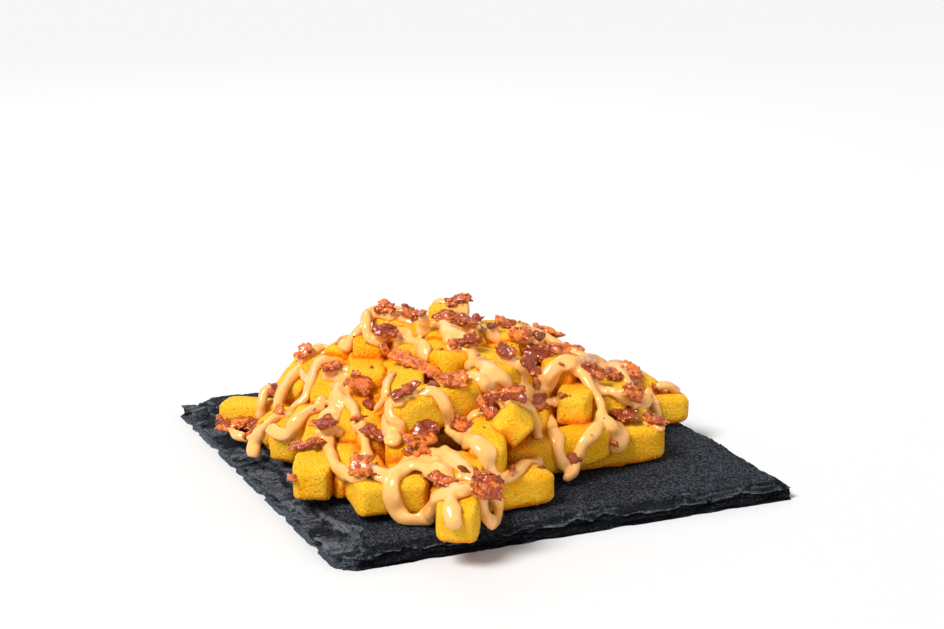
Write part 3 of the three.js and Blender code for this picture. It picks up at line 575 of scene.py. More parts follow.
@dataclass
class Board:
    """The slate: a riven slab with hand-dressed, flaking edges."""

    node: str = "slate_board"
    width: float = 158.7
    depth: float = 167.5
    thickness: float = 6.8
    flake: float = 1.6
    lean: dict[Face, float] = field(
        default_factory=lambda: {Face.LEFT: 5.7, Face.RIGHT: 3, Face.FRONT: 0.5, Face.BACK: 3.5}
    )
    knocked_off: float = 1.6
    corner_reach: float = 7
    grain: float = 0.66
    layers: int = 9
    stair: float = 0.6
    terraces: Sequence[tuple[float, float]] = ((12, 0.5), (8.5, 0.7), (5.5, 0.8), (2.8, 0.8))
    broad: Noises = ((0.16, 17, 3), (0.1, 6, 4))
    fine: Noises = ((0.09, 2.6, 6), (0.06, 1.5, 7))
    skin: float = 0.3
    # Between these steepnesses of the top, its steep risers are painted dark as shadow.
    riser_shade_from: float = 0.32
    riser_shade_to: float = 0.7

    def flake_at(self, x: Array, y: Array, up: float) -> Array:
        """How deep a flake has come off the edge, in shares of the deepest, as on the solid."""
        run = x + y * 1.3
        coarse = 0.5 * np.sin(run * 0.19 + up * 2.1) + 0.45 * np.sin(run * 0.47 - up * 3.7 + 1.3) - 0.1
        return np.maximum(0, coarse)

    def moved_in(self, x: Array, y: Array, up: float, ledge: int) -> tuple[Array, Array]:
        """Moves points of the outline in, as the sides lean and flake.

        Args:
            x: Places across, on the base's outline or inside it.
            y: Places in depth.
            up: The share of the board's thickness that they lie at.
            ledge: Which layer of the stone they are on: each has broken off a little further in or out.

        Returns:
            The moved places.
        """
        flake = self.flake * self.flake_at(x, y, up)
        flat = np.stack([x, y, np.full_like(x, ledge * 40.0)], axis=-1)
        bed = np.stack([x, y, np.full_like(x, (ledge + 1) // 3 * 40.0)], axis=-1)
        broken = 1.1 * np.maximum(0, noise(bed, 11, 12) + 0.2) + 0.7 * np.maximum(0, noise(flat, 5, ledge))
        broken += 0.5 * np.abs(noise(flat, 2.2, ledge + 20))
        broken = np.where(up > 0, broken, 0.3 * np.abs(noise(flat, 2.6, 5)))
        rim = 0.01
        left = x < rim - self.width / 2
        right = x > self.width / 2 - rim
        front = y < rim - self.depth / 2
        back = y > self.depth / 2 - rim
        in_x = np.where(left, up * self.lean[Face.LEFT] + flake + 1.5 * broken, 0.0)
        in_x = np.where(right, -(up * self.lean[Face.RIGHT] + flake + broken), in_x)
        in_y = np.where(front, up * self.lean[Face.FRONT] + 0.7 * flake + broken, 0.0)
        in_y = np.where(back, -(up * self.lean[Face.BACK] + flake + broken), in_y)
        near_x = self.width / 2 - np.abs(x)
        near_y = self.depth / 2 - np.abs(y)
        knocked = self.knocked_off * (1 - smooth_step(0, self.corner_reach, near_x + near_y))
        knocked = np.where((x < 0) & (y < 0), knocked, 0)
        return x + in_x + knocked, y + in_y + knocked

    def outline(self, up: float, ledge: int) -> Array:
        """The outline at a share of the thickness, as points that go round it from the front left corner."""
        across = np.linspace(-1, 1, round(self.width / self.grain) + 1)[:-1]
        along = np.linspace(-1, 1, round(self.depth / self.grain) + 1)[:-1]
        x = np.concatenate([across, np.ones_like(along), -across, -np.ones_like(along)]) * self.width / 2
        y = np.concatenate([-np.ones_like(across), along, np.ones_like(across), -along]) * self.depth / 2
        x, y = self.moved_in(x, y, up, ledge)
        return np.stack([x, y, np.full_like(x, up * self.thickness)], axis=-1)

    def top(self, rim: Array) -> tuple[Array, Array]:
        """The upper face, stretched between the four sides of its rim.

        Args:
            rim: The outline at the top.

        Returns:
            The points row by row from front to back, and how many points a row and a column have.
        """
        columns = round(self.width / self.grain) + 1
        rows = round(self.depth / self.grain) + 1
        ends = np.cumsum([columns - 1, rows - 1, columns - 1])
        loop = np.vstack([rim, rim[:1]])
        front = loop[: columns]
        right = loop[ends[0] : ends[1] + 1]
        back = loop[ends[1] : ends[2] + 1][::-1]
        left = loop[ends[2] :][::-1]
        u = np.linspace(0, 1, columns)[None, :, None]
        v = np.linspace(0, 1, rows)[:, None, None]
        ruled = (1 - v) * front[None] + v * back[None] + (1 - u) * left[:, None] + u * right[:, None]
        corners = (1 - v) * ((1 - u) * front[0] + u * front[-1]) + v * ((1 - u) * back[0] + u * back[-1])
        return (ruled - corners).reshape(-1, 3), np.array([rows, columns])

    def relief(self, points: Array) -> Array:
        """How far the riven upper face lies below the highest it can, in millimetres."""
        broad = layered(points, self.broad)
        fine = layered(points, self.fine)
        x, y = points[:, 0], points[:, 1]
        left = self.width / 2 + x - self.lean[Face.LEFT]
        others = np.minimum(self.width / 2 - x - 2, self.depth / 2 - np.abs(y) - 1)
        inset = np.minimum(left, 2.6 * others + 1.5)
        flat = points * [1, 1, 0]
        lost = np.zeros_like(x)
        for k, (reach, step) in enumerate(self.terraces):
            edge = reach * (0.55 + 0.75 * noise(flat, 15, 30 + k)) + 1.5 * noise(flat, 4.5, 40 + k)
            facet = step * (1 + 0.7 * noise(flat, 5, 50 + k))
            lost += facet * smooth_step(edge + 0.25, edge - 0.25, inset + 0.4 * noise(flat, 1.9, 60 + k))
        rough = lost / self.stair + 0.35 * noise(flat, 7, 80) + 0.25 * noise(flat, 1.7, 81)
        stairs = self.stair * np.floor(rough)
        lost = np.where(lost > 0.3 * self.stair, 0.4 * lost + 0.6 * np.maximum(stairs, 0), lost)
        return self.skin - broad - fine + lost

    def model(self) -> Shape:
        """Builds the board.

        Returns:
            Its shape, with where it is chipped and painted lit, where its sides are painted in shade, and
            where its steep risers are painted dark as shadow.
        """
        rings = [self.outline(0, 0)]
        for ledge in range(self.layers):
            for edge in (0.12, 0.92):
                rings.append(self.outline((ledge + edge) / self.layers, ledge + 1))
        rings.append(self.outline(1, self.layers))
        count = len(rings[0])
        sides = np.vstack(rings)
        top, (rows, columns) = self.top(rings[-1])
        lowered = self.relief(top)
        top[:, 2] -= lowered
        sides[:, 2] *= np.tile(1 - self.relief(rings[-1]) / self.thickness, len(rings))
        faces = grid_faces(len(rings), count, closed=True).tolist()
        faces += (grid_faces(rows, columns) + len(sides)).tolist()
        faces.append(list(range(count))[::-1])
        shape = Shape(np.vstack([sides, top]), faces, smooth=False)
        # Painted light: the left side is painted paler, as if lit, and the other sides dark, as if in shade.
        leftward = smooth_step(8, 3, self.width / 2 + sides[:, 0])
        shaded_sides = smooth_step(0.97, 0.9, sides[:, 2] / sides[:, 2].max()) * (1 - leftward)
        grid = lowered.reshape(rows, columns)
        # Painted shadow on the steep risers between the top's broken facets; the facets are paler, partly as
        # fresh stone and partly as painted light.
        steepness = np.hypot(*np.gradient(grid, self.grain)).ravel()
        cracks = smooth_step(self.riser_shade_from, self.riser_shade_to, steepness)
        facets = smooth_step(0.5, 1.0, lowered) * (0.75 + 0.45 * noise(top * [1, 1, 0], 4.5, 70))
        shape.values["chipped"] = np.concatenate([leftward * 0.6, np.clip(facets, 0, 1)])
        shape.values["cracks"] = np.concatenate([np.zeros(len(sides)), cracks])
        shape.values["shaded"] = np.concatenate([shaded_sides, np.zeros(len(top))])
        return shape


@dataclass(frozen=True)
class Fry:
    """One fry: where its showing end is, the way it runs, its size, and how finely it is made."""

    name: str
    tip: tuple[float, float, float]
    heading: float
    rise: float
    length: float
    width: float
    height: float
    roll: float
    number: int
    cells: tuple[int, int] = (11, 36)

    def axes(self) -> Array:
        """Its own axes as rows: across it, up through it, and along it from the end that shows."""
        level, slope, turn = (math.radians(v) for v in (self.heading, self.rise, self.roll))
        flat = math.cos(slope)
        along = Vector((flat * math.cos(level), flat * math.sin(level), math.sin(slope)))
        across = Vector((0, 0, 1)).cross(along).normalized()
        up = along.cross(across)
        side = across * math.cos(turn) + up * math.sin(turn)
        top = up * math.cos(turn) - across * math.sin(turn)
        return np.array([side, top, along])

    def distance(self, points: Array, corner: float) -> Array:
        """How far points lie outside it, less than 0 inside."""
        own = (points - np.array(self.tip)) @ self.axes().T
        own[:, 2] -= self.length / 2
        beyond = np.abs(own) - np.array([self.width, self.height, self.length]) / 2 + corner
        return np.linalg.norm(np.maximum(beyond, 0), axis=1) + np.minimum(beyond.max(axis=1), 0) - corner


@dataclass
class FryShape:
    """How a fry is modelled: a bar with soft corners and a bumpy crust, thinner towards its ends."""

    corner: float = 2.3
    end: float = 3.8
    thinner: float = 0.12
    thinner_over: float = 8
    edge_share: float = 0.29
    bumps: Noises = ((0.32, 8.5, 1), (0.09, 2.9, 2), (0.07, 1.4, 3))
    crumbly: float = 0.3
    sunk: float = 0.12
    taper: float = 0.07
    denser: float = 1.6
    bow: float = 0.5

    def spaced(self, cells: int) -> Array:
        """Places from -1 to 1, closer together towards the ends."""
        even = np.linspace(-1, 1, cells + 1)
        return np.sign(even) * (1 - (1 - np.abs(even)) ** self.denser)

    def block(self, across: int, along: int) -> tuple[Array, Array]:
        """The surface of a block of cells.

        Args:
            across: How many cells it has each way across.
            along: How many cells it has along it.

        Returns:
            The points, each coordinate from -1 to 1, and the faces, pointing out.
        """
        counts = np.array([across, across, along])
        places: list[Array] = []
        faces: list[Array] = []
        for axis in range(3):
            first, second = (axis + 1) % 3, (axis + 2) % 3
            size = [counts[second] + 1, counts[first] + 1]
            for side in (0, 1):
                spot = np.zeros((*size, 3), int)
                spot[..., first] = np.arange(size[1])[None]
                spot[..., second] = np.arange(size[0])[:, None]
                spot[..., axis] = side * counts[axis]
                quads = grid_faces(*size) + sum(len(p) for p in places)
                faces.append(quads if side else quads[:, ::-1])
                places.append(spot.reshape(-1, 3))
        every, index = np.unique(np.vstack(places), axis=0, return_inverse=True)
        scales = [self.spaced(count) for count in counts]
        points = np.stack([scales[axis][every[:, axis]] for axis in range(3)], axis=-1)
        return points, index.reshape(-1)[np.vstack(faces)]

    def of(self, fry: Fry) -> Shape:
        """Models one fry.

        Args:
            fry: Which fry.

        Returns:
            Its shape. Its values are crust, high along its corners, and tone, its own shade.
        """
        points, faces = self.block(*fry.cells)
        half = np.array([fry.width, fry.height, fry.length]) / 2
        corner = self.corner * (1 + 0.25 * jitter(fry.number, 41))
        rounding = np.array([corner, corner, self.end * (1 + 0.2 * jitter(fry.number, 44))])
        inner = half - rounding
        bare = points * half
        core = np.clip(bare, -inner, inner)
        out = unit((bare - core) / rounding)
        own = core + out * rounding
        along = own[:, 2:3] / half[2]
        last = smooth_step(1 - self.thinner_over / half[2], 1.05, np.abs(along))
        own[:, :2] *= (1 + self.taper * jitter(fry.number, 12) * along) * (1 - self.thinner * last**1.5)
        own[:, 0] += self.bow * jitter(fry.number, 42) * (along[:, 0] ** 2 - 0.5)
        edge = np.clip((1 - np.abs(out).max(axis=1)) / self.edge_share, 0, 1)
        seeded = own + 97.0 * fry.number
        crumbly = self.crumbly * edge * noise(seeded, 1.3, 4)
        own += out * (layered(seeded, self.bumps) + crumbly - self.sunk)[:, None]
        own[:, 2] += half[2]
        shape = Shape(own @ fry.axes() + np.array(fry.tip), faces.tolist())
        shape.values["crust"] = np.clip(edge * (0.7 + 0.5 * noise(seeded, 3.1, 5)), 0, 1)
        return shape.filled("tone", 0.5 + 0.5 * jitter(fry.number, 43))


@dataclass
class Heap:
    """The heap of fries: its even surface, its hidden core, and every fry that lies in it."""

    front_fries: Rows
    rest: float
    board_top: float
    across: float = 80
    front: float = 84
    back: float = 76
    height: float = 43
    shape: float = 1.6
    turn: float = -24
    middle: tuple[float, float] = (-1, -2)
    core_across: float = 60
    core_front: float = 50
    core_back: float = 58
    core_height: float = 34
    core_shape: float = 1.8
    core_middle: tuple[float, float] = (-4, 4)
    core_cells: tuple[int, int] = (24, 72)
    core_share: float = 0.76
    core_sunk: float = 5
    tiers: Sequence[tuple[int, float, float, float]] = (
        (8, 0.86, 42, 12.5),
        (6, 0.62, 42, 12),
        (3, 0.36, 40, 12),
    )
    far_from: float = -22
    far_to: float = 200
    hidden: int = 40
    hidden_share: float = 0.96
    hidden_length: float = 34
    hidden_girth: float = 11.5
    hidden_sunk: float = 1.5
    hidden_numbers: int = 200
    feelers: Sequence[float] = (1.5, 4, 9)
    corner: float = 2.6
    fries: list[Fry] = field(default_factory=list)

    def __post_init__(self) -> None:
        """Lays the fries: the ones at the front, those of the far side, and those deep in the heap."""
        self.fries = [Fry(*row, number=i) for i, row in enumerate(self.front_fries)]
        self.fries += self.far_fries(len(self.front_fries))
        self.solid_fries = list(self.fries)
        self.fries += self.deep_fries()

    def turned(self, x: float, y: float, middle: tuple[float, float]) -> tuple[float, float]:
        """A place on the heap's own axes, turned as the heap lies and moved to a middle."""
        turn = math.radians(self.turn)
        flat = (x * math.cos(turn) - y * math.sin(turn), x * math.sin(turn) + y * math.cos(turn))
        return flat[0] + middle[0], flat[1] + middle[1]

    def on_heap(self, share: float, degrees: float, lift: float) -> list[float]:
        """A point of the heap's even surface.

        Args:
            share: The share of the heap's radius.
            degrees: The angle round the heap.
            lift: How far over the surface the point lies.

        Returns:
            The point.
        """
        at = math.radians(degrees)
        x = self.across * share * math.cos(at)
        y = (self.back if math.sin(at) > 0 else self.front) * share * math.sin(at)
        z = self.board_top + self.height * (1 - share**self.shape) + lift
        return [*self.turned(x, y, self.middle), z]

    def far_angle(self, share: float) -> float:
        """The angle of the far side at a share of its arc."""
        return self.far_from + share * (self.far_to - self.far_from)

    def far_fries(self, start: int) -> list[Fry]:
        """The fries of the far side, in tiers, as the solids have them.

        Args:
            start: The number of the first.

        Returns:
            The fries.
        """
        made: list[Fry] = []
        for tier, (count, share, length, girth) in enumerate(self.tiers):
            for i in range(count):
                n = tier * 20 + i
                at = self.far_angle((i + 0.5 + 0.3 * jitter(n, 1)) / count)
                x, y, z = self.on_heap(share * (1 + 0.07 * jitter(n, 2)), at, -girth * 0.55)
                inward = math.degrees(math.atan2(self.middle[1] - y, self.middle[0] - x))
                made.append(
                    Fry(
                        name=f"far_{tier}_{i}",
                        tip=(x, y, max(self.rest + girth / 2, z)),
                        heading=inward + 48 * jitter(n, 3),
                        rise=14 + 8 * jitter(n, 4) - 5 * tier,
                        length=length * (1 + 0.12 * jitter(n, 5)),
                        width=girth * (1 + 0.06 * jitter(n, 6)),
                        height=girth * (0.97 + 0.06 * jitter(n, 7)),
                        roll=12 * jitter(n, 8),
                        number=start + len(made),
                        cells=(8, 26),
                    )
                )
        return made

    def on_core(self, share: float, degrees: float) -> tuple[Array, float]:
        """A point of the hidden core's surface, and how steeply the core falls there.

        Args:
            share: The share of the core's radius.
            degrees: The angle round the core.

        Returns:
            The point, and the fall in degrees.
        """
        at = math.radians(degrees)
        x = self.core_across * share * math.cos(at)
        y = (self.core_back if math.sin(at) > 0 else self.core_front) * share * math.sin(at)
        z = self.rest + self.core_height * (1 - share**self.core_shape)
        fall = self.core_height * self.core_shape * share ** (self.core_shape - 1) / self.core_across
        return np.array([*self.turned(x, y, self.core_middle), z]), math.degrees(math.atan(fall))

    def deep_fries(self) -> list[Fry]:
        """The fries that lie deep in the heap, close on its core, and fill the gaps between the others."""
        made: list[Fry] = []
        for i in range(self.hidden):
            share = math.sqrt((i + 0.5) / self.hidden) * self.hidden_share
            spot, fall = self.on_core(share, i * GOLDEN_ANGLE)
            outward = math.atan2(spot[1] - self.core_middle[1], spot[0] - self.core_middle[0])
            heading = math.degrees(outward) + 90 + 55 * jitter(i, 51)
            slope = -fall * math.sin(math.radians(heading - 90) - outward)
            length = self.hidden_length + 6 * jitter(i, 52)
            girth = self.hidden_girth + jitter(i, 53)
            level = math.radians(heading)
            run = np.array([math.cos(level), math.sin(level), -math.tan(math.radians(slope))])
            tip = spot - run * length / 2 - np.array([0, 0, self.hidden_sunk])
            made.append(
                Fry(
                    name=f"deep_{i}",
                    tip=(tip[0], tip[1], max(tip[2], self.rest + girth / 2)),
                    heading=heading,
                    rise=-slope,
                    length=length,
                    width=girth,
                    height=girth,
                    roll=20 * jitter(i, 54),
                    number=self.hidden_numbers + i,
                    cells=(4, 10),
                )
            )
        return made

    def distance(self, points: Array, but: Fry | None = None) -> Array:
        """How far points lie outside the nearest fry that the solids have.

        Args:
            points: The points.
            but: A fry that isn't counted.

        Returns:
            The distance of each, less than 0 inside.
        """
        nearest = np.full(len(points), np.inf)
        for fry in self.solid_fries:
            if fry is not but:
                nearest = np.minimum(nearest, fry.distance(points, self.corner))
        return nearest

    def shelter(self, shape: Shape, fry: Fry) -> Array:
        """How much a fry is closed in by the others and by the board at each of its points, where its finish
        paints shade.

        Args:
            shape: The fry's shape.
            fry: The fry.

        Returns:
            0 in the open to 1 deep between others.
        """
        out = normals_of(shape.points, shape.faces)
        total = np.zeros(len(shape.points))
        for reach in self.feelers:
            ahead = shape.points + reach * out
            free = np.minimum(self.distance(ahead, fry), 0.7 * (ahead[:, 2] - self.rest) + 0.3 * reach)
            total += 1 - np.clip(free / reach, 0, 1)
        return total / len(self.feelers)

    def way_out(self, points: Array, step: float = 0.5) -> Array:
        """The way out of the fries at each point."""
        way = np.zeros_like(points)
        for axis in range(3):
            move = np.zeros(3)
            move[axis] = step
            way[:, axis] = self.distance(points + move) - self.distance(points - move)
        still = np.linalg.norm(way, axis=1) < 1e-6
        way[still] = (0, 0, 1)
        return unit(way)

    def lifted(self, points: Array, clearance: Array, longest: float = 1.5) -> Array:
        """Moves points out until they lie outside every fry and over the board.

        Args:
            points: The points.
            clearance: How far outside each has to lie.
            longest: The longest single move.

        Returns:
            The moved points.
        """
        moved = points.copy()
        for _ in range(6):
            lack = np.clip(clearance - self.distance(moved), 0, longest)
            moved += self.way_out(moved) * lack[:, None]
        moved[:, 2] = np.maximum(moved[:, 2], self.rest + clearance)
        return moved

    def dropped(self, point: Sequence[float], clearance: float) -> list[float]:
        """A point moved straight down until it lies at the clearance over the fries or the board."""
        spot = np.array([point], float)
        for _ in range(12):
            down = max(0.0, float(self.distance(spot)[0]) - clearance)
            spot[0, 2] = max(self.rest + clearance, spot[0, 2] - down)
        return spot[0].tolist()

    def core(self) -> Shape:
        """The hidden core, a rough dome that closes the gaps between the deepest fries."""
        rings, around = self.core_cells
        rows = []
        for share in np.linspace(1, 0, rings):
            rows += [self.on_core(share * self.core_share, 360 * k / around)[0] for k in range(around)]
        points = np.array(rows)
        points[:, 2] -= self.core_sunk + 1.5 * noise(points, 5, 9)
        points[:, 2] = np.maximum(points[:, 2], self.rest)
        shape = Shape(points, grid_faces(rings, around, closed=True).tolist())
        return shape.filled("crust", 0.9).filled("tone", 0.2)

    def model(self) -> Shape:
        """Builds the heap of fries over its core.

        Returns:
            Its shape, with crust, tone and the shade painted where it is closed in.
        """
        model = FryShape()
        # The hidden core is painted in full shade.
        shapes = [self.core().filled("shelter", 1)]
        for fry in self.fries:
            shape = model.of(fry)
            # The shade painted where the fry is closed in by others and near the board.
            shape.values["shelter"] = self.shelter(shape, fry)
            shapes.append(shape)
        whole = Shape.joined(shapes)
        whole.points[:, 2] = np.maximum(whole.points[:, 2], self.rest)
        return whole


@dataclass
class CrustCrumbs:
    """The crumbs of crust and seasoning that stand on the fries, most along their corners."""

    heap: Heap
    each: int = 120
    smallest: float = 0.25
    largest: float = 0.75

    def model(self) -> Shape:
        """Builds the crumbs of every fry that shows.

        Returns:
            Their shape, with the same values as the fries.
        """
        draw = np.random.default_rng(11)
        ball, faces = ball_of(1)
        model = FryShape()
        shapes = []
        for fry in self.heap.solid_fries:
            whole = model.of(fry)
            chance = 0.12 + whole.values["crust"] ** 1.5
            taken = draw.choice(len(whole.points), self.each, replace=False, p=chance / chance.sum())
            for spot in whole.points[taken]:
                size = self.smallest + (self.largest - self.smallest) * draw.random() ** 2.2
                uneven = ball * draw.uniform(0.55, 1.25, (len(ball), 1)) * draw.uniform(0.6, 1.2, 3)
                shape = Shape(uneven * size / 2 + spot, faces.tolist())
                shape.filled("crust", draw.random() ** 1.5).filled("tone", draw.random()).filled("shelter", 0)
                shapes.append(shape)
        joined = Shape.joined(shapes)
        joined.points[:, 2] = np.maximum(joined.points[:, 2], self.heap.rest)
        return joined


@dataclass
class Sauce:
    """The cream sauce: thick strands that lie over the fries and run down them."""

    heap: Heap
    strands: Rows
    fine_strands: Rows
    holds: Rows
    proud: float = 0.35
    far_count: int = 3
    far_radius: float = 2.7
    far_start: float = 0.2
    far_end: float = 0.86
    far_points: int = 5
    far_sway: float = 14
    far_drop: float = 12
    step: float = 1.2
    sides: int = 14
    voxel: float = 0.59
    foot: float = 0.5
    slim: float = 0.8
    flat: float = 0.3
    thickest: float = 2.2
    end_run: float = 3.5
    end_girth: float = 0.75
    sink: float = 1.2
    drip: float = 1.15
    drips: Sequence[str] = ("drop", "fall", "toe", "drip", "blob")

    def far_strands(self) -> list[tuple]:
        """The strands of the far side, which run down from the crown and sway, as the solids have them."""
        made = []
        for i in range(self.far_count):
            points = []
            for k in range(self.far_points):
                run = k / (self.far_points - 1)
                at = self.heap.far_angle((i + 0.5) / self.far_count) + self.far_sway * math.sin(2.2 * k + i)
                share = self.far_start + run * (self.far_end - self.far_start - 0.12 * (i % 3))
                over = self.heap.on_heap(share, at, self.far_drop)
                points.append(self.heap.dropped(over, self.far_radius * self.proud))
            made.append((f"far_{i}", self.far_radius, points))
        return made

    def route(self, points: Array) -> Array:
        """A smooth curve through points, as places a step apart.

        Args:
            points: The points that the curve runs through.

        Returns:
            The places along it.
        """
        ends = [2 * points[0] - points[1], *points, 2 * points[-1] - points[-2]]
        fine = []
        for a, b, c, d in zip(ends, ends[1:], ends[2:], ends[3:]):
            pairs = ((a, b), (b, c), (c, d))
            knots = np.cumsum([0, *(max(np.linalg.norm(q - p), 1e-4) ** 0.5 for p, q in pairs)])
            at = np.linspace(knots[1], knots[2], 16, endpoint=False)[:, None]
            low = [self.between(at, knots[k], knots[k + 1], p, q) for k, (p, q) in enumerate(pairs)]
            middle = [self.between(at, knots[k], knots[k + 2], low[k], low[k + 1]) for k in (0, 1)]
            fine.append(self.between(at, knots[1], knots[2], middle[0], middle[1]))
        line = np.vstack([*fine, points[-1:]])
        run = np.concatenate([[0], np.cumsum(np.linalg.norm(np.diff(line, axis=0), axis=1))])
        even = np.linspace(0, run[-1], max(4, round(run[-1] / self.step)))
        return np.stack([np.interp(even, run, line[:, axis]) for axis in range(3)], axis=-1)

    @staticmethod
    def between(at: Array, low: float, high: float, first: Array, second: Array) -> Array:
        """The point between two at a place between two knots."""
        return (first * (high - at) + second * (at - low)) / (high - low)

    def laid(self, points: Array, radius: Array) -> Array:
        """A route laid out on the fries and drawn smooth, as sauce lies."""
        line = self.heap.lifted(points, radius * self.proud)
        for _ in range(3):
            line[1:-1] = 0.5 * line[1:-1] + 0.25 * (line[:-2] + line[2:])
        return line

    @staticmethod
    def carried(along: Array) -> Array:
        """A direction across a rope, carried along it so that it doesn't twist.

        Args:
            along: The rope's direction at each place.

        Returns:
            The direction across it at each place.
        """
        across = np.eye(3)[np.argmin(np.abs(along[0]))]
        made = []
        for forward in along:
            across = unit(across - forward * (across @ forward))
            made.append(across)
        return np.array(made)

    def rope(self, row: tuple, number: int) -> Shape:
        """One strand as a closed rope of changing thickness.

        Args:
            row: Its name, half its thickness, and its points.
            number: Which strand it is.

        Returns:
            Its shape.
        """
        name, radius, points = row
        line = self.route(np.array(points, float))
        share = np.linspace(0, 1, len(line))
        from_start = np.arange(len(line)) * self.step
        last = self.drip if any(word in name for word in self.drips) else self.end_girth
        ends = self.end_girth + (1 - self.end_girth) * smooth_step(0, self.end_run, from_start)
        ends *= last + (1 - last) * smooth_step(0, self.end_run, from_start[::-1])
        wave = 0.13 * np.sin(line @ np.array([0.31, 0.23, 0.27]) + number)
        wave += 0.09 * np.sin(share * 21 + 2 * number)
        girth = radius * self.slim * ends * (1.02 + wave + 0.14 * jitter(number, 61) * (share - 0.5))
        line = self.laid(line, girth)
        sunk = 1 - smooth_step(0, self.end_run, from_start)
        if last < 1:
            sunk += 1 - smooth_step(0, self.end_run, from_start[::-1])
        line -= self.heap.way_out(line) * (self.sink * sunk * girth)[:, None]
        along = unit(np.gradient(line, axis=0))
        side = self.carried(along)
        up = np.cross(side, along)
        out = self.heap.way_out(line)
        turns = np.linspace(0, 2 * math.pi, self.sides, endpoint=False)
        rings = []
        cap = np.linspace(0, math.pi / 2, 5)[:-1]
        spots = [(0, -math.cos(k), math.sin(k)) for k in cap]
        spots += [(i, 0.0, 1.0) for i in range(len(line))]
        spots += [(len(line) - 1, math.cos(k), math.sin(k)) for k in cap[::-1]]
        for i, ahead, grown in spots:
            round_it = np.cos(turns)[:, None] * side[i] + np.sin(turns)[:, None] * up[i]
            reach = girth[i] * (ahead * along[i] + grown * round_it)
            flat = 1 - (1 - self.flat) * min(1.0, self.thickest / girth[i])
            rings.append(line[i] + reach - flat * (reach @ out[i])[:, None] * out[i])
        faces = grid_faces(len(rings), self.sides, closed=True)[:, ::-1].tolist()
        return Shape(np.vstack(rings), faces)

    def model(self, layout: Layout) -> Shape:
        """Builds the sauce: every strand, run together where they touch, with a foot where it meets a fry.

        Args:
            layout: Where the layout lies.

        Returns:
            Its shape, with how thin it is.
        """
        rows = [*self.strands, *self.fine_strands, *self.far_strands(), *self.holds]
        ropes = Shape.joined([self.rope(row, i) for i, row in enumerate(rows)])
        points, faces = layout.run_together(ropes, self.voxel, 5)
        apart = self.heap.distance(points)
        spread = self.foot * np.exp(-((apart / 0.8) ** 2)) + 0.05 * noise(points, 3.5, 13)
        lifted = self.heap.way_out(points) * (spread * 0.5)[:, None]
        points += lifted + normals_of(points, faces) * spread[:, None]
        points[:, 2] = np.maximum(points[:, 2], self.heap.rest)
        shape = Shape(points, faces)
        shape.values["thin"] = np.exp(-np.maximum(apart, 0) / 0.9)
        return shape


@dataclass
class Sheet:
    """One piece of bacon: where it lies and how it is cut."""

    name: str
    place: Sequence[float]
    facing: Sequence[float]
    run: Sequence[float]
    length: float
    width: float
    thickness: float
    cut: Cut
    number: int

    def axes(self) -> Array:
        """Its own axes as rows: the way it runs, across it, and the way it faces."""
        face = unit(np.array(self.facing, float))
        along = np.array(self.run, float)
        along = unit(along - face * (along @ face))
        return np.array([along, np.cross(face, along), face])


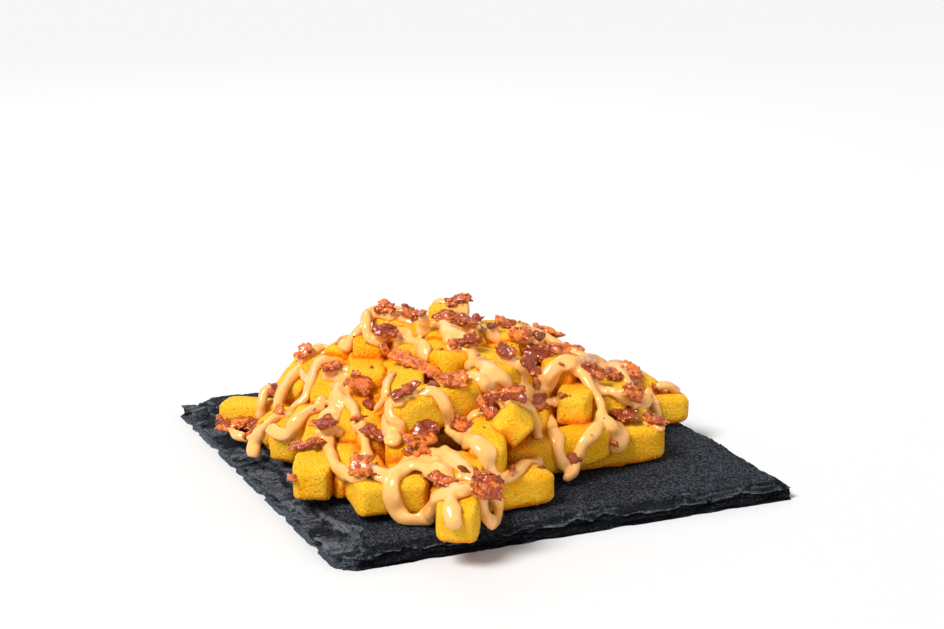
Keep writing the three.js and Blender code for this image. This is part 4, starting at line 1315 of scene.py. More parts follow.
@dataclass
class Bacon:
    """The larger pieces of bacon, each a thin, crisp, wavy sheet."""

    heap: Heap
    rows: Rows
    bits: Rows
    cell: float = 3.2
    wave: float = 0.45
    ragged: float = 0.14
    lift: float = 1
    fine: float = 0.45
    voxel: float = 0.35
    crowd: float = 0.22
    lump_least: float = 0.6
    lump_most: float = 1.5
    tears_along: Noises = ((0.6, 1.5, 15), (0.35, 0.8, 27))
    tears_across: Noises = ((0.6, 1.5, 17), (0.35, 0.8, 28))
    rough: Noises = ((0.2, 1.3, 33), (0.1, 0.6, 34))
    bit_slant: float = 0.4
    bit_thickness: float = 1.9
    held_from: float = 1.3
    hold_radius: float = 2.2
    hold_rise: float = 0.4
    legs: Sequence[float] = (-0.3, 0, 0.3)
    far_count: int = 6
    far_inner: float = 0.42
    far_outer: float = 0.68
    far_proud: float = 2.2
    far_length: float = 9
    far_width: float = 5.5
    far_thickness: float = 2
    words: Sequence[tuple[str, Cut]] = (
        ("dark", Cut.DARK),
        ("brown", Cut.DARK),
        ("red", Cut.RED),
        ("rust", Cut.RUST),
        ("pink", Cut.PINK),
        ("pale", Cut.PINK),
        ("orange", Cut.AMBER),
        ("curl", Cut.AMBER),
    )

    def cut_of(self, name: str, number: int) -> Cut:
        """How the piece of that name was cut, from a word in its name, or else by its number."""
        for word, cut in self.words:
            if word in name:
                return cut
        return (Cut.RED, Cut.RUST, Cut.RED, Cut.RUST, Cut.AMBER)[number % 5]

    def far_rows(self) -> list[tuple]:
        """The pieces of the far side, alternately high and low on it, as the solids have them."""
        made = []
        for i in range(self.far_count):
            at = self.heap.far_angle((i + 0.5) / self.far_count)
            over = self.heap.on_heap(self.far_inner if i % 2 else self.far_outer, at, self.far_proud)
            place = self.heap.dropped(over, self.far_proud)
            facing = [place[0] / self.heap.across, place[1] / self.heap.back, 1.1]
            run = [math.cos(i * 2.4), math.sin(i * 2.4), 0]
            length = self.far_length + 2 * jitter(i, 31)
            width = self.far_width + jitter(i, 32)
            made.append((f"far_{i}", place, facing, run, length, width, self.far_thickness))
        return made

    def sheets(self) -> list[Sheet]:
        """Every larger piece, in the order in which the solids have them."""
        every = [*self.rows, *self.far_rows()]
        return [Sheet(*row, self.cut_of(row[0], i), i) for i, row in enumerate(every)]

    def small_sheets(self, start: int) -> list[Sheet]:
        """The small bits as pieces that lie flat on what is below them.

        Args:
            start: The number of the first.

        Returns:
            The pieces.
        """
        made = []
        cuts = (Cut.RED, Cut.RUST, Cut.AMBER, Cut.DARK, Cut.PINK)
        for i, (place, size) in enumerate(self.bits, start):
            slant = self.bit_slant * np.array([jitter(i, k) for k in (91, 92, 93)])
            face = unit(self.heap.way_out(np.array([place], float))[0] + slant)
            run = [jitter(i, 94), jitter(i, 95), 0.5 * jitter(i, 96)]
            middle = np.array(place, float) - self.lift * face
            measures = (size, 0.7 * size, self.bit_thickness)
            made.append(Sheet(f"bit_{i}", middle, face, run, *measures, cuts[i % 5], i))
        return made

    def holds(self) -> list[tuple]:
        """The dabs of sauce that hold the pieces which don't lie on a fry.

        Returns:
            Strands, some for each piece: name, half the thickness, and points from the piece to a fry.
        """
        sheets = self.sheets()
        every = sheets + self.small_sheets(len(sheets))
        apart = self.heap.distance(np.array([sheet.place for sheet in every], float))
        held = [sheet for sheet, gap in zip(every, apart) if gap > self.held_from]
        legs = [(sheet, leg) for sheet in held for leg in self.legs]
        start = np.array([sheet.place + leg * sheet.length * sheet.axes()[0] for sheet, leg in legs], float)
        spot = start.copy()
        for _ in range(8):
            spot -= self.heap.way_out(spot) * np.maximum(self.heap.distance(spot), 0)[:, None]
        start += self.heap.way_out(start) * self.hold_radius * self.hold_rise
        made = [
            (f"hold_{sheet.name}", self.hold_radius, [a, 0.5 * (a + b), b])
            for (sheet, _), a, b in zip(legs, start, spot)
        ]
        LOG.info("%d dabs of sauce hold pieces of bacon", len(made))
        return made

    def coarse(self, sheet: Sheet, salt: int, x: Array, y: Array) -> Array:
        """The unevenness that the solid of this piece has at its few corners, drawn out over the piece.

        Args:
            sheet: The piece.
            salt: Which unevenness.
            x: Places along it, from 0 to 1.
            y: Places across it, from 0 to 1.

        Returns:
            The value at each place.
        """
        cells = (max(2, round(sheet.length / self.cell)), max(1, round(sheet.width / self.cell)))
        first = sheet.number * 31
        table = np.array(
            [[jitter(first + i * 7 + j * 3, salt) for j in range(cells[1] + 1)] for i in range(cells[0] + 1)]
        )
        at_x, at_y = x * cells[0], y * cells[1]
        i = np.minimum(at_x.astype(int), cells[0] - 1)
        j = np.minimum(at_y.astype(int), cells[1] - 1)
        u, v = at_x - i, at_y - j
        low = table[i, j] * (1 - v) + table[i, j + 1] * v
        high = table[i + 1, j] * (1 - v) + table[i + 1, j + 1] * v
        return low * (1 - u) + high * u

    def crisp(self, sheet: Sheet) -> Shape:
        """Models one piece: a thin sheet with a torn outline, thick and thin streaks and blisters.

        Args:
            sheet: The piece.

        Returns:
            Its shape. Its values are fat, high in the fatty streaks, and char, high where it is burnt.
        """
        columns = max(8, round(sheet.length / self.fine))
        rows = max(6, round(sheet.width / self.fine))
        u, v = np.meshgrid(np.linspace(0, 1, columns + 1), np.linspace(0, 1, rows + 1), indexing="ij")
        u, v = u.ravel(), v.ravel()
        share_x, share_y = 2 * u - 1, 2 * v - 1
        seed = 53.0 * sheet.number
        flat = [share_x * sheet.length / 2, share_y * sheet.width / 2, np.full_like(u, seed)]
        along = np.stack(flat, axis=-1)
        torn_x = 1 + 0.16 * noise(along * [0.2, 1, 1], 2.4, 14)
        torn_y = 1 + 0.2 * noise(along * [1, 0.2, 1], 2.6, 16)
        x = share_x * sheet.length / 2 * (1 + self.ragged * share_x * self.coarse(sheet, 22, u, v))
        y = share_y * sheet.width / 2 * (1 + self.ragged * self.coarse(sheet, 21, u, v))
        near_rim = smooth_step(0.45, 1, np.maximum(np.abs(share_x), np.abs(share_y)))
        x = x * (torn_x - 0.06) + near_rim * layered(along, self.tears_along)
        y = y * (torn_y - 0.08) + near_rim * layered(along, self.tears_across)
        curl = 0.6 * self.coarse(sheet, 23, u, v) * np.abs(share_y)
        rise = self.wave * (np.sin(x * 0.75 + sheet.number) + curl)
        rise += 0.35 * noise(along, 2.4, 18) + 0.4 * jitter(sheet.number, 71) * share_y**2
        rim = smooth_step(0, 0.3, 1 - np.maximum(np.abs(share_x), np.abs(share_y)))
        streak = noise(along * [0.28, 1, 1] + 0.5 * noise(along, 3, 19)[:, None], 1.5, 20)
        thick = sheet.thickness * (0.3 + 0.36 * rim + 0.16 * streak + 0.12 * noise(along, 1.2, 21))
        fat = smooth_step(-0.25, 0.35, streak + 1.6 * sheet.cut.fat - 0.8)
        char = smooth_step(0.1, 0.9, sheet.cut.char + 0.4 * noise(along, 2.2, 22) + 0.25 * (1 - rim))
        sides = []
        for side in (-1, 1):
            blister = 0.5 * noise(along + 11 * side, 1.7, 23) + 0.3 * noise(along + 7 * side, 0.9, 24)
            sides.append(np.stack([x, y, rise + side * thick / 2 + blister * rim], axis=-1))
        axes = sheet.axes()
        middle = np.array(sheet.place, float) + self.lift * axes[2]
        shape = Shape(np.vstack(sides) @ axes + middle, sheet_faces(columns + 1, rows + 1).tolist())
        shape.values["fat"] = np.tile(fat, 2)
        shape.values["char"] = np.tile(char, 2)
        return shape

    def lumps(self, sheet: Sheet, draw: np.random.Generator) -> list[Shape]:
        """The lumps of meat and fat that stand on a piece and along its rim.

        Args:
            sheet: The piece.
            draw: Where the random numbers come from.

        Returns:
            Their shapes, with the same values as the piece.
        """
        ball, faces = ball_of(2)
        axes = sheet.axes()
        middle = np.array(sheet.place, float) + self.lift * axes[2]
        made = []
        for _ in range(round(sheet.length * sheet.width * self.crowd)):
            across = draw.uniform(-1, 1, 2) * (sheet.length, sheet.width) * 0.47
            spot = np.array([*across, draw.uniform(-0.3, 0.4) * sheet.thickness])
            size = draw.uniform(self.lump_least, self.lump_most)
            uneven = 1 + 0.3 * noise(ball * 2 + draw.uniform(0, 900), 1.3, 29)[:, None]
            own = ball * uneven * size * draw.uniform(0.6, 1.25, 3) * [1, 1, 0.55] + spot
            shape = Shape(own @ axes + middle, faces.tolist())
            fat = np.clip(sheet.cut.fat + draw.normal(0, 0.2), 0, 1)
            char = np.clip(sheet.cut.char + draw.normal(0, 0.16), 0, 1)
            made.append(shape.filled("fat", fat).filled("char", char))
        return made

    def fused(self, layout: Layout, parts: Shape) -> Shape:
        """Runs the parts together into one crumbly surface, and carries their values over to it.

        Args:
            layout: Where the layout lies.
            parts: Every piece with its lumps.

        Returns:
            The surface.
        """
        points, faces = layout.run_together(parts, self.voxel, 1)
        tree = KDTree(len(parts.points))
        for index, point in enumerate(parts.points):
            tree.insert(point, index)
        tree.balance()
        nearest = np.array([tree.find(point)[1] for point in points])
        rough = layered(points, self.rough)
        away = unit(points - parts.points[nearest] + 1e-6)
        shape = Shape(points + away * rough[:, None], faces)
        for name, values in parts.values.items():
            shape.values[name] = values[nearest]
        return shape

    def model(self, layout: Layout) -> Shape:
        """Builds the larger pieces of bacon.

        Args:
            layout: Where the layout lies.

        Returns:
            Their shape, with fat and char.
        """
        sheets = self.sheets()
        draw = np.random.default_rng(5)
        every = sheets + self.small_sheets(len(sheets))
        parts = [self.crisp(sheet) for sheet in every]
        for sheet in every:
            parts += self.lumps(sheet, draw)
        return self.fused(layout, Shape.joined(parts))

    def nodes(self) -> list[str]:
        """The names of the solids that it stands for."""
        return [f"bacon_{sheet.name}" for sheet in self.sheets()]


@dataclass
class Crumbs:
    """The crumbs of bacon that lie on the fries, on the sauce and round the larger pieces."""

    bacon: Bacon
    loose: int = 110
    loose_share: float = 0.93
    loose_least: float = 0.8
    loose_more: float = 1.7
    from_above: float = 60
    per_sheet: int = 9
    rim_share: float = 0.46
    rim_size: float = 1.6
    rim_more: float = 0.9
    lumpy: Noises = ((0.62, 0.7, 25), (0.3, 0.35, 26))

    def scattered(self, layout: Layout, surfaces: Sequence[Object]) -> list[tuple[Array, float]]:
        """Places loose crumbs on what lies below them.

        Args:
            layout: Where the layout lies.
            surfaces: The pieces that crumbs can lie on.

        Returns:
            The middle and the size of each crumb.
        """
        trees = []
        for surface in surfaces:
            corners = [vertex.co for vertex in surface.data.vertices]
            faces = [list(face.vertices) for face in surface.data.polygons]
            trees.append(BVHTree.FromPolygons(corners, faces))
        made = []
        heap = self.bacon.heap
        for i in range(self.loose):
            share = math.sqrt((i + 0.5) / self.loose) * self.loose_share
            at = GOLDEN_ANGLE * i + 20 * jitter(i, 81)
            over = np.array([heap.on_heap(share, at, self.from_above)])
            start = Vector(layout.metres(over)[0])
            hits = [tree.ray_cast(start, Vector((0, 0, -1)))[0] for tree in trees]
            found = [hit for hit in hits if hit is not None]
            if not found:
                continue
            top = np.array(max(found, key=lambda hit: hit.z)) / MM - layout.shift
            size = self.loose_least + self.loose_more * (0.5 + 0.5 * jitter(i, 82)) ** 3
            made.append((top + np.array([0, 0, 0.2 * size]), size))
        return made

    def round_sheets(self) -> list[tuple[Array, float]]:
        """The crumbs that have come off the larger pieces and lie against their rims."""
        made = []
        for sheet in self.bacon.sheets():
            axes = sheet.axes()
            for k in range(self.per_sheet):
                n = sheet.number * 17 + k
                at = 2 * math.pi * (k + 0.4 * jitter(n, 83)) / self.per_sheet
                own = np.array([math.cos(at) * sheet.length, math.sin(at) * sheet.width, 0]) * self.rim_share
                own[2] = self.bacon.lift + 0.6 * jitter(n, 84)
                size = self.rim_size + self.rim_more * jitter(n, 85)
                made.append((own @ axes + np.array(sheet.place, float), size))
        return made

    def model(self, layout: Layout, surfaces: Sequence[Object]) -> Shape:
        """Builds the crumbs.

        Args:
            layout: Where the layout lies.
            surfaces: The pieces that loose crumbs can lie on.

        Returns:
            Their shape, with fat and char.
        """
        ball, faces = ball_of(2)
        spots = self.round_sheets() + self.scattered(layout, surfaces)
        shapes = []
        for n, (middle, size) in enumerate(spots):
            flat = np.array([1, 0.72 + 0.2 * jitter(n, 86), 0.55 + 0.2 * jitter(n, 87)])
            own = ball * (1 + layered(ball + 31 * n, self.lumpy))[:, None] * flat * size / 2
            tilt = rotation(0.7 * jitter(n, 88), 0)
            spin = rotation(2.4 * n, 2)
            shape = Shape(own @ tilt @ spin + middle, faces.tolist())
            shape.filled("fat", 0.5 + 0.5 * jitter(n, 89)).filled("char", max(0.0, 0.3 + 0.6 * jitter(n, 90)))
            shapes.append(shape)
        return Shape.joined(shapes)


class Wiring:
    """Adds nodes to a tree and links them."""

    def __init__(self, tree: bpy.types.NodeTree) -> None:
        """Starts on a tree."""
        self.tree = tree

    def node(self, kind: str, **inputs: object) -> bpy.types.Node:
        """Adds a node.

        Args:
            kind: The node's type.
            inputs: A value, or a socket to link, for its sockets by name, with _ for a space.

        Returns:
            The node.
        """
        made = self.tree.nodes.new(kind)
        for name, value in inputs.items():
            self.feed(made.inputs[name.replace("_", " ")], value)
        return made

    def feed(self, socket: Socket, value: object) -> None:
        """Sets a socket to a value, or links it to another socket."""
        if isinstance(value, Socket):
            self.tree.links.new(value, socket)
        elif isinstance(value, tuple) and len(value) == 3 and socket.type == "RGBA":
            socket.default_value = (*value, 1)
        else:
            socket.default_value = value

    def math(
        self, operation: str, first: object, second: object = 0.0, clamp: bool = False
    ) -> Socket:
        """The result of a sum on two values, kept from 0 to 1 if clamp is set."""
        made = self.tree.nodes.new("ShaderNodeMath")
        made.operation = operation
        made.use_clamp = clamp
        self.feed(made.inputs[0], first)
        self.feed(made.inputs[1], second)
        return made.outputs[0]

    def blend(self, *terms: tuple[object, float]) -> Socket:
        """Values added up, each times its own share."""
        total, *others = [self.math("MULTIPLY", value, share) for value, share in terms]
        for part in others:
            total = self.math("ADD", total, part)
        return total

    def range(
        self, value: object, low: float, high: float, to_low: float = 0.0, to_high: float = 1.0
    ) -> Socket:
        """A value taken from one range to another, smoothly, and kept within it."""
        made = self.tree.nodes.new("ShaderNodeMapRange")
        made.interpolation_type = "SMOOTHSTEP"
        for index, item in enumerate((value, low, high, to_low, to_high)):
            self.feed(made.inputs[index], item)
        return made.outputs[0]

    def mix(self, share: object, first: object, second: object) -> Socket:
        """Two colours mixed by a share."""
        made = self.tree.nodes.new("ShaderNodeMix")
        made.data_type = "RGBA"
        self.feed(made.inputs[0], share)
        self.feed(made.inputs[6], first)
        self.feed(made.inputs[7], second)
        return made.outputs[2]

    def cover(self, colour: object, other: object, mask: object, share: float) -> Socket:
        """A colour with another laid over it where a mask is high, as strongly as a share says."""
        return self.mix(self.math("MULTIPLY", mask, share), colour, other)

    def place(self) -> Socket:
        """The place in the object's own space."""
        return self.node("ShaderNodeTexCoord").outputs["Object"]

    def scale_of(self, size: object) -> Socket:
        """The scale of a texture whose features have a size in millimetres."""
        return self.math("DIVIDE", 1 / MM, size)

    def clouds(self, place: object, scale: object, detail: float, roughness: object) -> Socket:
        """Noise over space, from 0 to 1."""
        given = {"Vector": place, "Scale": scale, "Detail": detail, "Roughness": roughness}
        return self.node("ShaderNodeTexNoise", **given).outputs["Fac"]

    def value_of(self, name: str) -> Socket:
        """The value of that name that the mesh holds at each point."""
        made = self.tree.nodes.new("ShaderNodeAttribute")
        made.attribute_name = name
        return made.outputs["Fac"]

    def group(self, tree: bpy.types.NodeTree, **inputs: object) -> bpy.types.Node:
        """Places a node group, with its inputs by name."""
        made = self.tree.nodes.new("ShaderNodeGroup")
        made.node_tree = tree
        for name, value in inputs.items():
            self.feed(made.inputs[name], value)
        return made


@dataclass
class Effects:
    """The effects that more than one finish uses, each built once as a node group."""

    trees: dict[str, bpy.types.NodeTree] = field(default_factory=dict)

    def start(
        self, name: str, inputs: Sequence[tuple[str, float]], outputs: Sequence[str]
    ) -> tuple[Wiring, bpy.types.Node, bpy.types.Node]:
        """Starts a group.

        Args:
            name: The group's name.
            inputs: The name and the usual value of each input.
            outputs: The name of each output.

        Returns:
            The wiring of its tree, and the nodes that hold its inputs and its outputs.
        """
        tree = bpy.data.node_groups.new(name, "ShaderNodeTree")
        for label, usual in inputs:
            socket = tree.interface.new_socket(label, in_out="INPUT", socket_type="NodeSocketFloat")
            socket.default_value = usual
        for label in outputs:
            tree.interface.new_socket(label, in_out="OUTPUT", socket_type="NodeSocketFloat")
        self.trees[name] = tree
        wiring = Wiring(tree)
        return wiring, wiring.node("NodeGroupInput"), wiring.node("NodeGroupOutput")

    def build(self) -> "Effects":
        """Builds every group."""
        self.mottle()
        self.specks()
        self.relief()
        self.layers()
        return self

    def mottle(self) -> None:
        """Soft patches: a mask from 0 to 1, at a size in millimetres, a contrast and an offset in metres."""
        wiring, given, out = self.start("mottle", [("Size", 5), ("Contrast", 2), ("Offset", 0)], ["Mask"])
        moved = wiring.node("ShaderNodeVectorMath")
        moved.operation = "ADD"
        wiring.feed(moved.inputs[0], wiring.place())
        wiring.feed(moved.inputs[1], given.outputs["Offset"])
        scale = wiring.scale_of(given.outputs["Size"])
        cloud = wiring.clouds(moved.outputs[0], scale, 3.0, 0.55)
        centred = wiring.math("SUBTRACT", cloud, 0.5)
        stronger = wiring.math("MULTIPLY", centred, given.outputs["Contrast"])
        wiring.feed(out.inputs["Mask"], wiring.math("ADD", stronger, 0.5, clamp=True))

    def specks(self) -> None:
        """Scattered specks: a mask that is 1 on them, by their spacing, radius and share of places."""
        inputs = [("Spacing", 2), ("Radius", 0.3), ("Share", 0.4)]
        wiring, given, out = self.start("specks", inputs, ["Mask"])
        place = wiring.place()
        scale = wiring.scale_of(given.outputs["Spacing"])
        ragged = wiring.node("ShaderNodeTexNoise", Vector=place, Scale=1.6 / MM, Detail=1.0)
        cells = wiring.node("ShaderNodeTexVoronoi", Vector=place, Scale=scale, Randomness=1.0)
        far = wiring.math("MULTIPLY", cells.outputs["Distance"], given.outputs["Spacing"])
        uneven = wiring.math("MULTIPLY", wiring.math("SUBTRACT", ragged.outputs["Fac"], 0.5), 0.5)
        near = wiring.math("SUBTRACT", given.outputs["Radius"], wiring.math("ADD", far, uneven))
        spot = wiring.range(near, -0.05, 0.1)
        dice = wiring.tree.nodes.new("ShaderNodeSeparateColor")
        wiring.feed(dice.inputs[0], cells.outputs["Color"])
        taken = wiring.math("LESS_THAN", dice.outputs[0], given.outputs["Share"])
        wiring.feed(out.inputs["Mask"], wiring.math("MULTIPLY", spot, taken))

    def relief(self) -> None:
        """Fine unevenness: a height from noise, at a size in millimetres and a sharpness."""
        wiring, given, out = self.start("relief", [("Size", 1), ("Sharpness", 0.5)], ["Height"])
        place = wiring.place()
        scale = wiring.scale_of(given.outputs["Size"])
        wiring.feed(out.inputs["Height"], wiring.clouds(place, scale, 4.0, given.outputs["Sharpness"]))

    def layers(self) -> None:
        """The layers of split stone: a mask of level lines that waver, at a thickness in millimetres."""
        wiring, given, out = self.start("layers", [("Thickness", 0.8)], ["Mask"])
        place = wiring.place()
        flat = wiring.node("ShaderNodeMapping", Vector=place, Scale=(0.06, 0.06, 1.0))
        scale = wiring.scale_of(given.outputs["Thickness"])
        lines = wiring.clouds(flat.outputs[0], scale, 4.0, 0.65)
        wiring.feed(out.inputs["Mask"], wiring.range(lines, 0.35, 0.65))


@dataclass
class Finish:
    """What every finish is made with: a material with one shader, its wiring, and the shared effects."""

    name: str
    effects: Effects

    def __post_init__(self) -> None:
        """Makes the bare material."""
        self.material = bpy.data.materials.new(self.name)
        self.material.use_nodes = True
        self.wiring = Wiring(self.material.node_tree)
        self.shader = self.material.node_tree.nodes["Principled BSDF"]

    def effect(self, name: str, **inputs: float) -> Socket:
        """The first output of a shared effect, with this finish's own values."""
        return self.wiring.group(self.effects.trees[name], **inputs).outputs[0]

    def sockets(self, **values: object) -> None:
        """Sets the shader's own sockets, by name with _ for a space, or links them."""
        for name, value in values.items():
            self.wiring.feed(self.shader.inputs[name.replace("_", " ")], value)

    def surface(self, colour: object, mask: object, low: float, high: float) -> None:
        """Leads in the colour, and a roughness that goes from low to high as a mask does."""
        self.sockets(Base_Color=colour, Roughness=self.wiring.range(mask, 0.0, 1.0, low, high))

    def bump(self, height: Socket, depth: float, strength: float = 1.0) -> None:
        """Leads a height into the shader's normal.

        Args:
            height: The height, about 0 to 1.
            depth: How deep it is in millimetres.
            strength: How strongly it tells.
        """
        made = self.wiring.node("ShaderNodeBump", Height=height, Strength=strength, Distance=depth * MM)
        self.wiring.feed(self.shader.inputs["Normal"], made.outputs[0])


@dataclass
class FriedPotato(Finish):
    """Seasoned fried potato: golden, browner along its corners, with red and dark specks, painted deeper
    orange as shade where the fries are closed in, and with pale grains that partly stand for glints.
    """

    pale: Colour = (1.0, 0.57, 0.03)
    golden: Colour = (1.0, 0.4, 0.0)
    brown: Colour = (0.8, 0.21, 0.0)
    paprika: Colour = (0.42, 0.06, 0.006)
    pepper: Colour = (0.07, 0.022, 0.008)
    # Pale grains of crust, partly a painted glint.
    pale_grain_and_glint: Colour = (1.0, 0.78, 0.22)
    # The deeper orange painted as shade where a fry is closed in or lies near the board.
    deep: Colour = (0.9, 0.21, 0.0)

    def make(self) -> Material:
        """Wires the finish and returns its material."""
        wiring = self.wiring
        tone = wiring.value_of("tone")
        crust = wiring.value_of("crust")
        broad = self.effect("mottle", Size=9, Contrast=3.0, Offset=0.1)
        small = self.effect("mottle", Size=1.0, Contrast=4.2, Offset=0.3)
        share = wiring.blend((tone, 0.3), (broad, 0.4), (small, 0.25))
        colour = wiring.mix(wiring.range(share, 0.1, 0.9), self.pale, self.golden)
        # Painted shade: deeper orange where the fry is closed in by others and near the board.
        shelter = wiring.range(wiring.value_of("shelter"), 0.1, 0.75, 0.0, 0.9)
        colour = wiring.mix(shelter, colour, self.deep)
        browned = wiring.math("MULTIPLY", crust, wiring.math("MULTIPLY", small, 0.35))
        colour = wiring.mix(browned, colour, self.brown)
        # Pale grains, partly painted glints.
        grains = self.effect("specks", Spacing=0.85, Radius=0.26, Share=0.6)
        colour = wiring.cover(colour, self.pale_grain_and_glint, grains, 0.6)
        red = self.effect("specks", Spacing=1.5, Radius=0.24, Share=0.32)
        dark = self.effect("specks", Spacing=2.6, Radius=0.24, Share=0.34)
        colour = wiring.cover(colour, self.paprika, red, 0.75)
        colour = wiring.cover(colour, self.pepper, dark, 0.85)
        self.surface(colour, small, 0.42, 0.62)
        fine = self.effect("relief", Size=0.8, Sharpness=0.62)
        self.bump(wiring.math("ADD", fine, wiring.math("MULTIPLY", grains, 0.25)), 1.4, 1.0)
        self.sockets(Subsurface_Weight=0.2, Subsurface_Radius=(1.0, 0.75, 0.4), Subsurface_Scale=0.0015)
        self.sockets(Coat_Weight=0.05, Coat_Roughness=0.15, Specular_IOR_Level=0.05)
        return self.material


@dataclass
class CreamSauce(Finish):
    """Glossy cream sauce: pale orange, warmer where it is thin."""

    cream: Colour = (0.82, 0.41, 0.115)
    thin: Colour = (0.88, 0.35, 0.055)
    fleck: Colour = (0.5, 0.2, 0.06)

    def make(self) -> Material:
        """Wires the finish and returns its material."""
        wiring = self.wiring
        patch = self.effect("mottle", Size=6, Contrast=1.6, Offset=0.7)
        share = wiring.math("MULTIPLY", wiring.value_of("thin"), wiring.math("ADD", 0.3, patch))
        colour = wiring.mix(wiring.range(share, 0.1, 1.3), self.cream, self.thin)
        flecks = self.effect("specks", Spacing=3.4, Radius=0.22, Share=0.35)
        colour = wiring.cover(colour, self.fleck, flecks, 0.7)
        self.surface(colour, patch, 0.16, 0.3)
        self.bump(self.effect("relief", Size=2.6, Sharpness=0.35), 0.16, 0.5)
        self.sockets(Subsurface_Weight=0.3, Subsurface_Radius=(1.0, 0.45, 0.2), Subsurface_Scale=0.0016)
        self.sockets(Coat_Weight=0.6, Coat_Roughness=0.05, Specular_IOR_Level=0.4)
        return self.material


@dataclass
class CrispBacon(Finish):
    """Crisp bacon: dark red lean and amber fat in streaks, burnt in places, with a greasy gloss."""

    lean: Colour = (0.4, 0.05, 0.004)
    deep: Colour = (0.17, 0.02, 0.003)
    fatty: Colour = (0.84, 0.22, 0.006)
    pink: Colour = (0.68, 0.18, 0.05)

    def make(self) -> Material:
        """Wires the finish and returns its material."""
        wiring = self.wiring
        fine = self.effect("mottle", Size=0.8, Contrast=3.6, Offset=0.2)
        broad = self.effect("mottle", Size=3.2, Contrast=2.6, Offset=0.5)
        fat = wiring.range(wiring.blend((wiring.value_of("fat"), 0.7), (fine, 0.6)), 0.35, 1.05)
        amber = wiring.mix(broad, self.fatty, self.pink)
        lean = wiring.mix(fine, self.lean, self.deep)
        colour = wiring.mix(fat, lean, amber)
        char = wiring.math("MULTIPLY", wiring.value_of("char"), wiring.math("MULTIPLY", broad, 0.8))
        colour = wiring.mix(char, colour, self.deep)
        self.surface(colour, fine, 0.18, 0.4)
        self.bump(self.effect("relief", Size=1.2, Sharpness=0.6), 0.9, 1.0)
        self.sockets(Subsurface_Weight=0.35, Subsurface_Radius=(1.0, 0.3, 0.1), Subsurface_Scale=0.0018)
        self.sockets(Coat_Weight=0.65, Coat_Roughness=0.1, Specular_IOR_Level=0.2)
        return self.material


@dataclass
class Slate(Finish):
    """Riven slate: dark blue-grey with a fine grain, paler and layered where it is broken; its left side is
    painted paler as if lit, its other sides are painted in shade, and its steep risers are painted dark as
    shadow.
    """

    dark: Colour = (0.0008, 0.0012, 0.002)
    worn: Colour = (0.088, 0.106, 0.136)
    # The paler stone of fresh breaks, also painted on the left side as light.
    fresh: Colour = (0.19, 0.215, 0.25)

    def make(self) -> Material:
        """Wires the finish and returns its material."""
        wiring = self.wiring
        chipped = wiring.value_of("chipped")
        grain = self.effect("mottle", Size=0.75, Contrast=4.8, Offset=0.9)
        broad = self.effect("mottle", Size=14, Contrast=2.0, Offset=0.4)
        lines = self.effect("layers", Thickness=1.1)
        sparse = wiring.math("POWER", grain, 1.5)
        patchy = wiring.math("ADD", 0.55, wiring.math("MULTIPLY", broad, 0.45))
        base = wiring.mix(wiring.math("MULTIPLY", sparse, patchy), self.dark, self.worn)
        # Painted shade: the sides other than the left are darkened, less along the layer lines.
        side_shade = wiring.math("MULTIPLY", wiring.value_of("shaded"), wiring.range(lines, 0.1, 0.9, 1.0, 0.6))
        base = wiring.mix(side_shade, base, self.dark)
        streaks = wiring.range(wiring.math("ADD", grain, lines), 0.0, 1.6, 0.25, 1.0)
        # Paler where broken, and painted paler on the left side as if lit.
        broken = wiring.math("MULTIPLY", chipped, streaks)
        colour = wiring.mix(broken, base, self.fresh)
        # Painted shadow on the steep risers of the top.
        colour = wiring.cover(colour, self.dark, wiring.value_of("cracks"), 0.85)
        self.surface(colour, grain, 0.75, 0.5)
        fine = self.effect("relief", Size=1.9, Sharpness=0.72)
        split = wiring.math("MULTIPLY", wiring.math("MULTIPLY", lines, chipped), 0.8)
        self.bump(wiring.math("ADD", fine, split), 3.4, 1.0)
        self.sockets(Specular_IOR_Level=0.1)
        return self.material


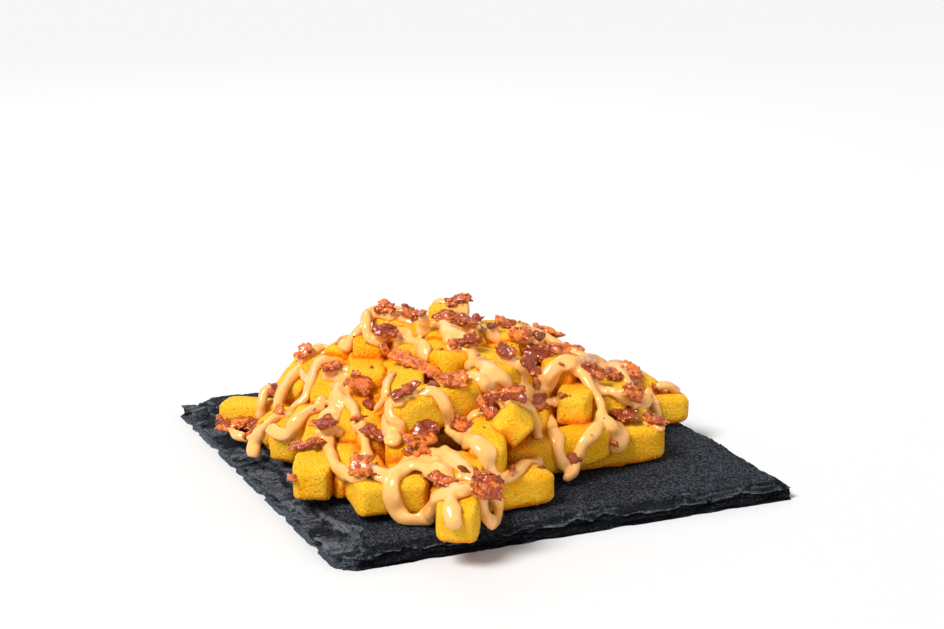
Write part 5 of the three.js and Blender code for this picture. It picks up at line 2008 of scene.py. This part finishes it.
@dataclass
class Studio:
    """The camera, the pale floor and the soft lights."""

    place: tuple[float, float, float] = (-277.95, -626.15, 236.0)
    turn: float = -24.05
    look_down: float = 15.12
    lens: float = 79.09
    sensor: float = 36
    aim: tuple[float, float, float] = (0, 0, 0.02)
    floor_size: float = 30
    floor_shade: float = 0.63
    floor_roughness: float = 0.9
    sky: float = 0.38
    suns: Rows = (("key", (-0.62, -0.2, 0.76), 24, 4.2), ("fill", (0.35, -0.85, 0.4), 60, 0.75))
    lamps: Rows = (("back", (0.1, 0.62, 0.55), 0.6, 0.8), ("left", (-0.5, -0.2, 0.62), 0.1, 0.4))

    def camera(self, layout: Layout) -> None:
        """Sets the camera where the photograph was taken from."""
        data = bpy.data.cameras.new("camera")
        data.lens = self.lens
        data.sensor_width = self.sensor
        data.clip_start = 0.05
        made = bpy.data.objects.new("camera", data)
        made.location = layout.metres(np.array(self.place))
        made.rotation_euler = (math.radians(90 - self.look_down), 0, math.radians(self.turn))
        bpy.context.scene.collection.objects.link(made)
        bpy.context.scene.camera = made

    def light(self, name: str, place: tuple[float, float, float], size: float, power: float) -> None:
        """Adds a soft light that shines at the object.

        Args:
            name: The light's name.
            place: Where it is, in metres.
            size: How wide it is, in metres.
            power: Its power in watts.
        """
        data = bpy.data.lights.new(name, "AREA")
        data.shape = "DISK"
        data.size = size
        data.energy = power
        made = bpy.data.objects.new(name, data)
        made.location = place
        made.rotation_euler = (Vector(self.aim) - Vector(place)).to_track_quat("-Z", "Y").to_euler()
        bpy.context.scene.collection.objects.link(made)

    def daylight(self, name: str, toward: tuple[float, float, float], spread: float, strength: float) -> None:
        """Adds an even, soft light over everything, from far off.

        Args:
            name: The light's name.
            toward: The direction in which it lies.
            spread: How wide it looks, in degrees: the wider, the softer its shadows.
            strength: Its strength in watts a square metre.
        """
        data = bpy.data.lights.new(name, "SUN")
        data.angle = math.radians(spread)
        data.energy = strength
        made = bpy.data.objects.new(name, data)
        made.rotation_euler = (-Vector(toward)).to_track_quat("-Z", "Y").to_euler()
        bpy.context.scene.collection.objects.link(made)

    def floor(self) -> None:
        """Lays the pale floor."""
        bpy.ops.mesh.primitive_plane_add(size=self.floor_size, location=(0, 0, 0))
        floor = bpy.context.object
        floor.name = "floor"
        paint = bpy.data.materials.new("floor_white")
        paint.use_nodes = True
        shader = paint.node_tree.nodes["Principled BSDF"]
        shader.inputs["Base Color"].default_value = (self.floor_shade, self.floor_shade, self.floor_shade, 1)
        shader.inputs["Roughness"].default_value = self.floor_roughness
        floor.data.materials.append(paint)

    def surroundings(self) -> None:
        """Sets the even white light that comes from all round."""
        world = bpy.data.worlds.new("studio")
        world.use_nodes = True
        world.node_tree.nodes["Background"].inputs["Color"].default_value = (1, 1, 1, 1)
        world.node_tree.nodes["Background"].inputs["Strength"].default_value = self.sky
        bpy.context.scene.world = world

    def build(self, layout: Layout) -> None:
        """Sets the studio up round the object."""
        self.camera(layout)
        self.floor()
        self.surroundings()
        bpy.context.scene.view_settings.view_transform = "Standard"
        for row in self.suns:
            self.daylight(*row)
        for row in self.lamps:
            self.light(*row)


def main() -> None:
    """Builds the loaded fries, sets up the studio and hands the scene over."""
    logging.basicConfig(level=logging.INFO, format="%(name)s: %(message)s")
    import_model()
    effects = Effects().build()
    board = Board()
    layout = Layout.of_board(board)
    layout.piece("slate", board.model(), Slate("slate", effects).make(), "slate", [board.node])
    heap = Heap(FRONT_FRIES, rest=board.thickness + GAP, board_top=board.thickness)
    potato = FriedPotato("fried_potato", effects).make()
    fries = layout.piece("fries", heap.model(), potato, "fried_potato", ["fries_heap"])
    layout.piece("crust_crumbs", CrustCrumbs(heap).model(), potato, "fried_potato")
    bacon = Bacon(heap, BACON, BITS)
    cream = CreamSauce("cream_sauce", effects).make()
    strands = Sauce(heap, STRANDS, FINE_STRANDS, bacon.holds()).model(layout)
    sauce = layout.piece("sauce", strands, cream, "fried_potato")
    crisp = CrispBacon("crisp_bacon", effects).make()
    layout.piece("bacon", bacon.model(layout), crisp, "bacon", bacon.nodes())
    layout.piece("crumbs", Crumbs(bacon).model(layout, [fries, sauce]), crisp, "bacon")
    Studio().build(layout)


if __name__ == "__main__":
    main()
